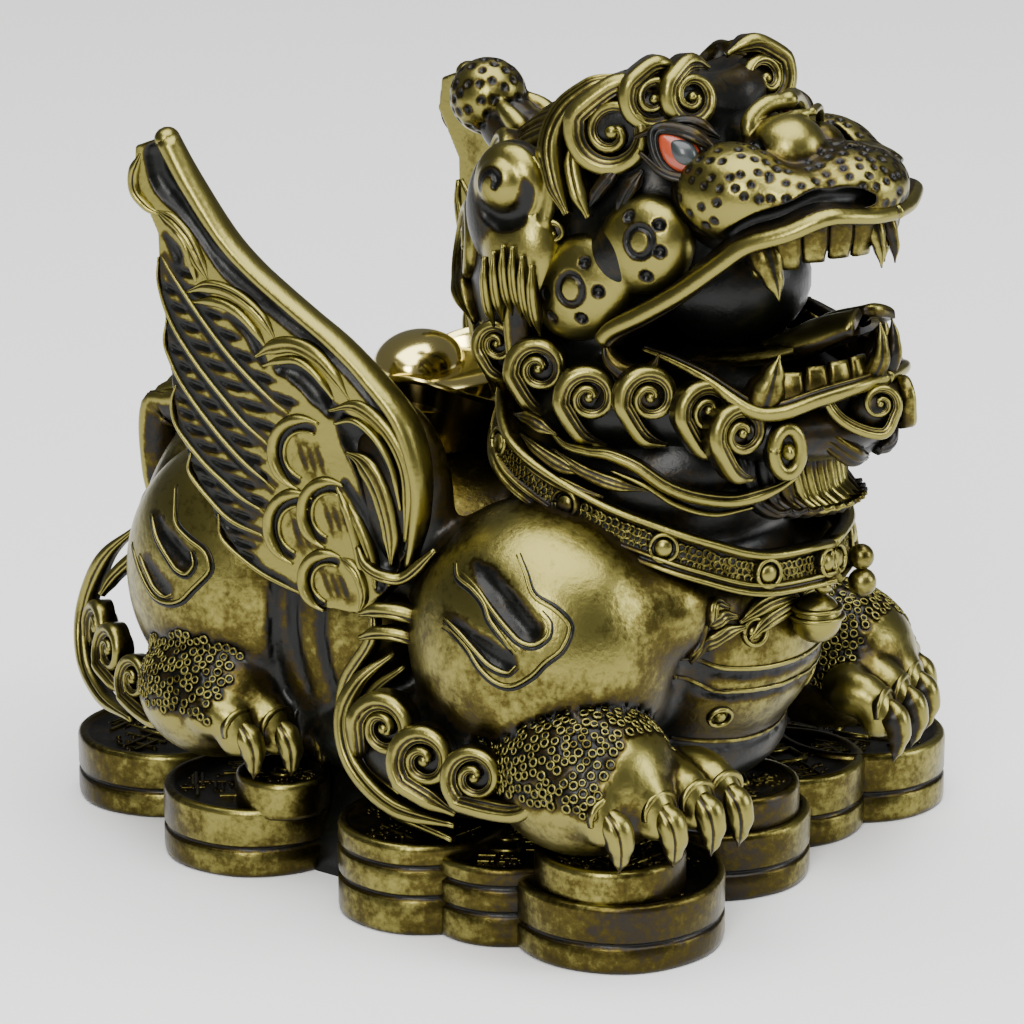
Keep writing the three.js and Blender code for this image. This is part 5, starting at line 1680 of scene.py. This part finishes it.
def makeClaws():
    for foot in feet.values():
        for x, y, z in foot["toes"]:
            size, drop = foot["claw"], foot["drop"]
            root = [x + 0.4, y - 3.2, z + 0.8]
            path = [root, [x + 0.5, y - 4.7, z - 0.8], [x + 0.5, y - 5.3, z - drop * 0.5],
                    [x + 0.3, y - 5.2, z - drop * 0.9], [x, y - 4.8, z - drop - 1.6]]
            for side in both:
                sweep(toes, path, [size * 0.6, size * 0.9, size * 0.8, size * 0.5, 0.12],
                      [size * 0.6, size * 0.85, size * 0.75, size * 0.45, 0.12], [0.55, -0.8, 0.25],
                      lockSection((-0.25,), 0.22, 0.12, 1.0, 18), 24, side, [0.6, 1.0, 1.0, 0.8, 0.5])
            # the knuckle and the fold of skin over the root of the claw
            turn = np.linspace(-0.1, 1.1, 14) * math.pi
            fold = np.stack([x + 0.3 + 2.7 * np.cos(turn), y - 3.0 + 0.5 * np.cos(turn),
                             z + 0.3 + 2.3 * np.sin(turn)], -1)
            for side in both:
                sweep(toes, fold, [0.2, 0.5, 0.6, 0.5, 0.2], [0.3, 0.5, 0.6, 0.5, 0.3], [0.3, -1, 0.4],
                      plainSection(1.4, 12), 26, side, 0.75)


makeClaws()

# ribs cut in the flank

addBlob(bodyBlock, [28.4, 14, 33], [1.9, 8, 11], 1.2, 0.95, sides=both)
for ribY, ribLow, ribHigh in ((17.4, 25, 43), (13.4, 24.5, 43), (9.0, 23.5, 43)):
    ribShare = np.linspace(0, 1, 14)
    ribLine = np.stack([np.full(14, 29.5), ribY - 2.4 + 2.6 * np.sin(ribShare * 2.4),
                        ribLow + (ribHigh - ribLow) * ribShare], -1)
    ribLine, _ = settle(bodyBlock, ribLine)
    addRope(bodyBlock, ribLine, [0.2, 0.5, 0.55, 0.5, 0.2], 0.3, 0.0, True, both)
print("body ornaments made")


# the heap of coins

coinHeap = {
    "wearAndPaintedLight": 0.66,
    "thickness": 9.2,
    "seamShare": 0.42,
    "seamDepth": 0.7,
    "rimWidth": 1.3,
    "recess": 0.7,
    # x, y, radius, added thickness
    "lower": [(-15.4, 48, 12.5, 0), (-25.6, 24, 12.5, 0.4), (-29.9, -7.1, 11, 3.2), (-27.7, -18.7, 10, 1.6),
              (-23.3, -33.3, 13.9, 0), (3.5, -31.5, 12, 0), (23.4, -28.9, 11, 0.8), (38.4, -31.6, 12, 0.8),
              (37.5, -9, 11.4, 0.4), (35, 15, 12, 1.2), (28, 37, 12.5, 0.2), (7, 50, 10.5, 0.9)],
    "upper": [(-28.6, 16.9, 6.4), (-26.4, -34.3, 9.7), (3.6, -33.3, 9)],
    "upperFrom": 8.2,
    "upperTo": 13.4,
    "around": 96,
    "strokesPerGroup": 8,
    "grainsPerGroup": 26,
    "strokeRadius": 0.14,
    "grainSpread": 0.36,
    "grainRadius": 0.42,
}
coins = newPiece("coinHeap", brass)
strokePlaces = []


def makeCoin(x, y, radius, low, high, seams, spin):
    heap = coinHeap
    rim, dip = heap["rimWidth"], heap["recess"]
    # from the underside's middle, up the side, over the rim to the middle of the face: r, z, and how rubbed
    # gold it is
    profile = [(0.02, low, 0.1), (radius - 0.5, low, 0.3), (radius - 0.1, low + 0.35, 0.8),
               (radius, low + 0.9, 0.95)]
    for seam in seams:
        for step, depth, wearAndPaintedLight in ((-0.55, 0, 0.95), (-0.3, 0.3, 0.5), (0, 1, 0), (0.3, 0.3, 0.5),
                                 (0.6, 0.05, 1)):
            profile.append((radius - depth * heap["seamDepth"], seam + step, wearAndPaintedLight))
    profile += [(radius, high - 0.9, 0.95), (radius - 0.12, high - 0.35, 1.1),
                (radius - 0.45, high - 0.05, 1.2), (radius - 0.7 * rim, high, 1.0),
                (radius - rim, high - 0.12, 0.7), (radius - rim - 0.35, high - dip, 0),
                (radius * 0.5, high - dip, 0.05), (0.02, high - dip, 0.05)]
    rings = np.array(profile)
    around = heap["around"]
    turn = fullTurn(around)
    wobble = 1 + 0.006 * np.sin(3 * turn + spin) + 0.004 * np.sin(7 * turn + 2 * spin)
    px = x + rings[:, :1] * np.cos(turn) * wobble
    py = y + rings[:, :1] * np.sin(turn) * wobble
    pz = np.broadcast_to(rings[:, 1:2], px.shape)
    flat = np.stack([px, py, pz], -1).reshape(-1, 3)
    flat, faces, wearAndPaintedLight = closedRings(flat, np.repeat(rings[:, 2], around), around)
    shade = heap["wearAndPaintedLight"] + 0.22 * np.sin(2 * np.arctan2(flat[:, 1] - y, flat[:, 0] - x) + spin)
    addShell(coins, flat, faces, wearAndPaintedLight * shade)
    inner = radius - rim - 0.6
    for quarter in range(4):
        angle = spin + quarter * math.pi / 2
        middle = np.array([x, y]) + 0.62 * inner * np.array([math.cos(angle), math.sin(angle)])
        strokePlaces.append((middle, angle, inner, high - dip))
    # the raised frame of the square hole in the middle
    half = 0.24 * inner
    corners = [[x + half * math.cos(spin + a) * 1.414, y + half * math.sin(spin + a) * 1.414, high - dip]
               for a in np.radians([45, 135, 225, 315, 405])]
    for a, b in zip(corners[:-1], corners[1:]):
        sweep(coins, [a, b], 0.42, 0.55, [0, 0, 1], barSection, 4)


def makeCoins():
    heap = coinHeap
    for i, (x, y, radius, extra) in enumerate(heap["lower"]):
        high = heap["thickness"] + extra
        seams = [high * heap["seamShare"]] + ([high * 0.75] if extra > 1 else [])
        makeCoin(x, y, radius, 0, high, seams, 0.7 * i)
    for i, (x, y, radius) in enumerate(heap["upper"]):
        makeCoin(x, y, radius, heap["upperFrom"], heap["upperTo"], [], 0.5 + 0.9 * i)
    # the rough filling between the coins
    around = 72
    turn = fullTurn(around)
    rings = []
    for share, z in ((0.02, 0), (1, 0), (1, 4), (0.95, 9), (0.86, 12.5), (0.8, 14.6), (0.4, 15.2),
                     (0.02, 15.4)):
        bump = 1 + 0.02 * np.sin(5 * turn + z) + 0.015 * np.sin(11 * turn + 2 * z)
        rings.append(np.stack([3 + 31 * share * bump * np.cos(turn), 4 + 43 * share * bump * np.sin(turn),
                               np.full(around, z)], -1))
    flat = np.concatenate(rings)
    flat, faces, wearAndPaintedLight = closedRings(flat, np.zeros(len(flat)), around)
    addShell(coins, flat, faces, wearAndPaintedLight)


makeCoins()


def setStrokes():
    # each coin's face carries four groups of short strokes, on a ground of fine grains
    random = np.random.default_rng(77)
    places, facing, size, wearAndPaintedLight = [], [], [], []
    for middle, angle, inner, z in strokePlaces:
        outward = np.array([math.cos(angle), math.sin(angle)])
        sideways = np.array([-math.sin(angle), math.cos(angle)])
        span = 0.24 * inner
        for _ in range(coinHeap["strokesPerGroup"]):
            direction = outward if random.random() < 0.5 else sideways
            shift = (random.random(2) - 0.5) * 2 * span
            spot = middle + outward * shift[0] + sideways * shift[1]
            places.append([spot[0], spot[1], z])
            facing.append([direction[0], direction[1], 0])
            size.append(span * (0.55 + 0.5 * random.random()))
            wearAndPaintedLight.append(0.45 + 0.4 * random.random())
    settings.append(setOut("coinStrokes", "stroke", np.array(places), np.array(facing), np.array(size),
                           np.array(wearAndPaintedLight), 1.0, coinHeap["strokeRadius"]))
    grains = []
    for middle, angle, inner, z in strokePlaces:
        for _ in range(coinHeap["grainsPerGroup"]):
            spin = random.random() * 2 * math.pi
            out = math.sqrt(random.random()) * coinHeap["grainSpread"] * inner
            grains.append([middle[0] + out * math.cos(spin), middle[1] + out * math.sin(spin), z - 0.1])
    grains = np.array(grains)
    upward = np.tile([0.0, 0.0, 1.0], (len(grains), 1))
    settings.append(setOut("coinGrains", "stud", grains, upward, 0.5 + 0.7 * random.random(len(grains)),
                           0.42, coinHeap["grainRadius"]))


setStrokes()
print("coins made")

# gold ingot

ingotForm = {
    "place": [0, 11, 51.5],
    "turn": 14,
    "length": 28,
    "width": 22,
    "rim": 8.5,
    "endLift": 5.6,
    "deck": 12.6,
    "domeHeight": 4.6,
    "domeOffset": [-1.7, 3.1],
    "domeShare": 0.27,
}


# Cast brass left bright: polished and clear-lacquered, so it mirrors the room and looks pale yellow. Its
# hull is painted dark brown, a painted reflection of the dark figure round it.
def makeBright():
    material = bpy.data.materials.new("brightPolishedBrass")
    material.use_nodes = True
    tree = material.node_tree
    tree.nodes.clear()
    place = addNode(tree, "ShaderNodeTexCoord").outputs["Object"]
    wearAndPaintedLight = addNode(tree, "ShaderNodeAttribute", {"attribute_name": "wearAndPaintedLight"}).outputs["Fac"]
    wave = addNode(tree, "ShaderNodeTexNoise", {}, {"Scale": 160.0, "Detail": 2.0}, {"Vector": place})
    bump = addNode(tree, "ShaderNodeBump", {}, {"Strength": 0.15, "Distance": 0.0003},
                   {"Height": wave.outputs["Fac"]})
    # dark brown where the mesh marks the hull, as painted reflection, pale gold elsewhere
    colour = addNode(tree, "ShaderNodeMix", {"data_type": "RGBA"}, {6: srgb("#3A1D08"), 7: srgb("#E9D98A")},
                     {0: wearAndPaintedLight})
    shader = addNode(tree, "ShaderNodeBsdfPrincipled", {}, {"Metallic": 1.0, "Roughness": 0.16}, {
        "Base Color": colour.outputs[2], "Normal": bump.outputs["Normal"]})
    addNode(tree, "ShaderNodeOutputMaterial", {}, {}, {"Surface": shader.outputs[0]})
    return material


bright = makeBright()
ingot = newPiece("goldIngot", bright)


def makeIngot():
    form = ingotForm
    around = 120
    turn = fullTurn(around)
    hull = [(0.02, 0), (0.3, 0.0), (0.42, 0.02), (0.55, 0.12), (0.66, 0.22), (0.8, 0.5), (0.9, 0.8),
            (0.97, 0.95), (1, 1)]
    # share of the oval, height, and share of the lift at the ends: hull, rim with inner wall, deck
    profile = [(r, z * form["rim"], 1) for r, z in hull]
    profile += [(0.985, form["rim"] + 0.3, 1), (0.94, form["rim"], 1), (0.88, 7.4, 0.6), (0.84, 6.6, 0.6)]
    for r in (0.82, 0.8, 0.74, 0.66, 0.56, 0.44, 0.3, 0.16, 0.02):
        profile.append((r, form["deck"] - 1.2 * (r / 0.84) ** 6, 0))
    rings = []
    for r, z, rise in profile:
        x, y = r * form["length"] / 2 * np.cos(turn), r * form["width"] / 2 * np.sin(turn)
        lift = form["endLift"] * (x / (form["length"] / 2)) ** 2 * r**2
        rings.append(np.stack([x, y, z + lift * rise], -1))
    flat = np.concatenate(rings)
    wearAndPaintedLight = np.ones(len(flat))
    # the hull under the rim is painted darker, a painted reflection of the dark figure round it
    wearAndPaintedLight[:len(hull) * around - around] = 0.25
    angle = math.radians(form["turn"])
    spin = np.array([[math.cos(angle), -math.sin(angle), 0], [math.sin(angle), math.cos(angle), 0],
                     [0, 0, 1]])
    flat, faces, wearAndPaintedLight = closedRings(flat, wearAndPaintedLight, around)
    addShell(ingot, flat @ spin.T + form["place"], faces, wearAndPaintedLight)
    # dome
    polar = np.linspace(0.02, math.pi / 2 + 0.3, 18)
    dome = []
    for p in polar:
        x = form["domeOffset"][0] + form["domeShare"] * form["length"] * np.sin(p) * np.cos(turn)
        y = form["domeOffset"][1] + form["domeShare"] * form["width"] * np.sin(p) * np.sin(turn)
        dome.append(np.stack([x, y, form["deck"] - 0.2 + form["domeHeight"] * np.cos(p) + 0 * x], -1))
    flat = np.concatenate(dome)
    flat, faces, wearAndPaintedLight = closedRings(flat, np.ones(len(flat)), around)
    addShell(ingot, flat @ spin.T + form["place"], faces, wearAndPaintedLight)


makeIngot()
print("ingot made")

# pieces become objects

space = occupied([bodyBlock, headBlock, wingBlock, muzzleBlock, cheekBlock, earBlock, hornBlock])


# share of the triangles each piece keeps once its smooth parts are thinned
kept = {
    "pixiuBody": 0.42,
    "pixiuHead": 0.5,
    "pixiuWingPlates": 0.5,
    "pixiuMuzzle": 0.6,
    "pixiuCheeks": 0.5,
    "pixiuEars": 0.5,
    "pixiuHorn": 0.6,
    "pixiuManeAndCurls": 0.65,
    "pixiuWings": 0.65,
    "pixiuCollarAndCurls": 0.6,
    "coinHeap": 0.8,
}


def thinOut(piece):
    # fewer triangles where a surface is smooth
    if piece.name in kept:
        modifier = piece.modifiers.new("thinning", "DECIMATE")
        modifier.ratio = kept[piece.name]
        bpy.context.view_layer.update()
        ready = piece.evaluated_get(bpy.context.evaluated_depsgraph_get())
        thinner = bpy.data.meshes.new_from_object(ready)
        piece.modifiers.clear()
        piece.data = thinner
    print(piece.name, len(piece.data.polygons), "triangles")
    return piece


farWingShift = [0, 1.2, -2.4]


def settleFarWing(points):
    # the far wing of the figure stands a little further back and lower than the near one
    return points + np.where(points[:, :1] > 0, [farWingShift], 0.0)


def finishPiece(piece, addWashAndPaintedShade=True, move=lambda p: p):
    points = np.concatenate(piece["points"])
    faces = np.concatenate(piece["faces"])
    wearAndPaintedLight = np.concatenate(piece["wearAndPaintedLight"])
    # the black wash and the painted shade of recesses and broad hollows
    if addWashAndPaintedShade:
        wearAndPaintedLight = wearAndPaintedLight * washAndPaintedShadeAt(space, points)
    return thinOut(makeObject(piece["name"], move(points), faces, wearAndPaintedLight, piece["material"]))


def finishBlock(name, block, mirrored=False, move=lambda p: p):
    points, faces, tone = surfaceOf(block)
    if mirrored:
        faces = np.concatenate([faces, faces[:, ::-1] + len(points)])
        points = np.concatenate([points, points * [-1, 1, 1]])
        tone = np.concatenate([tone, tone])
    # the block's tone, darkened by the black wash and the painted shade of recesses and broad hollows
    return thinOut(makeObject(name, move(points), faces, tone * washAndPaintedShadeAt(space, points), brass))


dressed = [
    finishBlock("pixiuBody", bodyBlock),
    finishBlock("pixiuHead", headBlock),
    finishBlock("pixiuWingPlates", wingBlock, True, settleFarWing),
    finishBlock("pixiuMuzzle", muzzleBlock),
    finishBlock("pixiuCheeks", cheekBlock, True),
    finishBlock("pixiuEars", earBlock, True),
    finishBlock("pixiuHorn", hornBlock),
    finishPiece(mane),
    finishPiece(wings, True, settleFarWing),
    finishPiece(face),
    finishPiece(eyes, False),
    finishPiece(pupils, False),
    finishPiece(ornaments),
    finishPiece(toes),
    finishPiece(coins, False),
    *settings,
]
ingotObject = finishPiece(ingot, False)
for piece in dressed:
    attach(piece, "root")
    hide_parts("pixiu")
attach(ingotObject, "root")
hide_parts("gold_ingot")

# floor, lights and camera

stageLook = {
    "azimuth": -54.4,
    "elevation": 17.0,
    "distance": 600,
    "target": [0, 0, 45],
    # focal length over sensor width
    "focalShare": 4.377,
    "floorColour": "#FAFAFA",
    "roomLight": 0.14,
}


def addFloor():
    mesh = bpy.data.meshes.new("floor")
    half = 3.0
    mesh.from_pydata([(-half, -half, 0), (half, -half, 0), (half, half, 0), (-half, half, 0)], [],
                     [(0, 1, 2, 3)])
    material = bpy.data.materials.new("paperSweepWhite")
    material.use_nodes = True
    shader = material.node_tree.nodes["Principled BSDF"]
    shader.inputs["Base Color"].default_value = srgb(stageLook["floorColour"])
    shader.inputs["Roughness"].default_value = 0.8
    mesh.materials.append(material)
    floor = bpy.data.objects.new("floor", mesh)
    bpy.context.scene.collection.objects.link(floor)


def addLight(name, place, size, power, colour, target=(0, 0, 0.05)):
    light = bpy.data.lights.new(name, "AREA")
    light.shape = "RECTANGLE"
    light.size, light.size_y = size
    light.energy = power
    light.color = colour
    lamp = bpy.data.objects.new(name, light)
    lamp.location = place
    direction = Vector(target) - Vector(place)
    lamp.rotation_euler = direction.to_track_quat("-Z", "Y").to_euler()
    bpy.context.scene.collection.objects.link(lamp)


def addCamera():
    azimuth, elevation = math.radians(stageLook["azimuth"]), math.radians(stageLook["elevation"])
    back = Vector((math.sin(azimuth) * math.cos(elevation), -math.cos(azimuth) * math.cos(elevation),
                   math.sin(elevation)))
    target = Vector(toFrame(stageLook["target"]))
    lens = bpy.data.cameras.new("camera")
    lens.sensor_fit = "HORIZONTAL"
    lens.sensor_width = 36
    lens.lens = 36 * stageLook["focalShare"]
    camera = bpy.data.objects.new("camera", lens)
    camera.location = target + back * stageLook["distance"] / 1000
    camera.rotation_euler = back.to_track_quat("Z", "Y").to_euler()
    bpy.context.scene.collection.objects.link(camera)
    bpy.context.scene.camera = camera


def setWorld():
    world = bpy.data.worlds.new("softRoom")
    world.use_nodes = True
    background = world.node_tree.nodes["Background"].inputs
    background["Color"].default_value = (1, 1, 1, 1)
    background["Strength"].default_value = stageLook["roomLight"]
    bpy.context.scene.world = world


addFloor()
addCamera()
setWorld()
addLight("softTop", (-0.1, -0.2, 1.6), (1.8, 1.8), 60.0, (1, 1, 1))
addLight("softLeft", (-0.8, -0.35, 0.55), (0.3, 0.45), 7.0, (1, 0.99, 0.96))
addLight("softRight", (0.35, -0.8, 0.35), (0.3, 0.45), 4.0, (0.97, 0.99, 1))

print("scene ready")
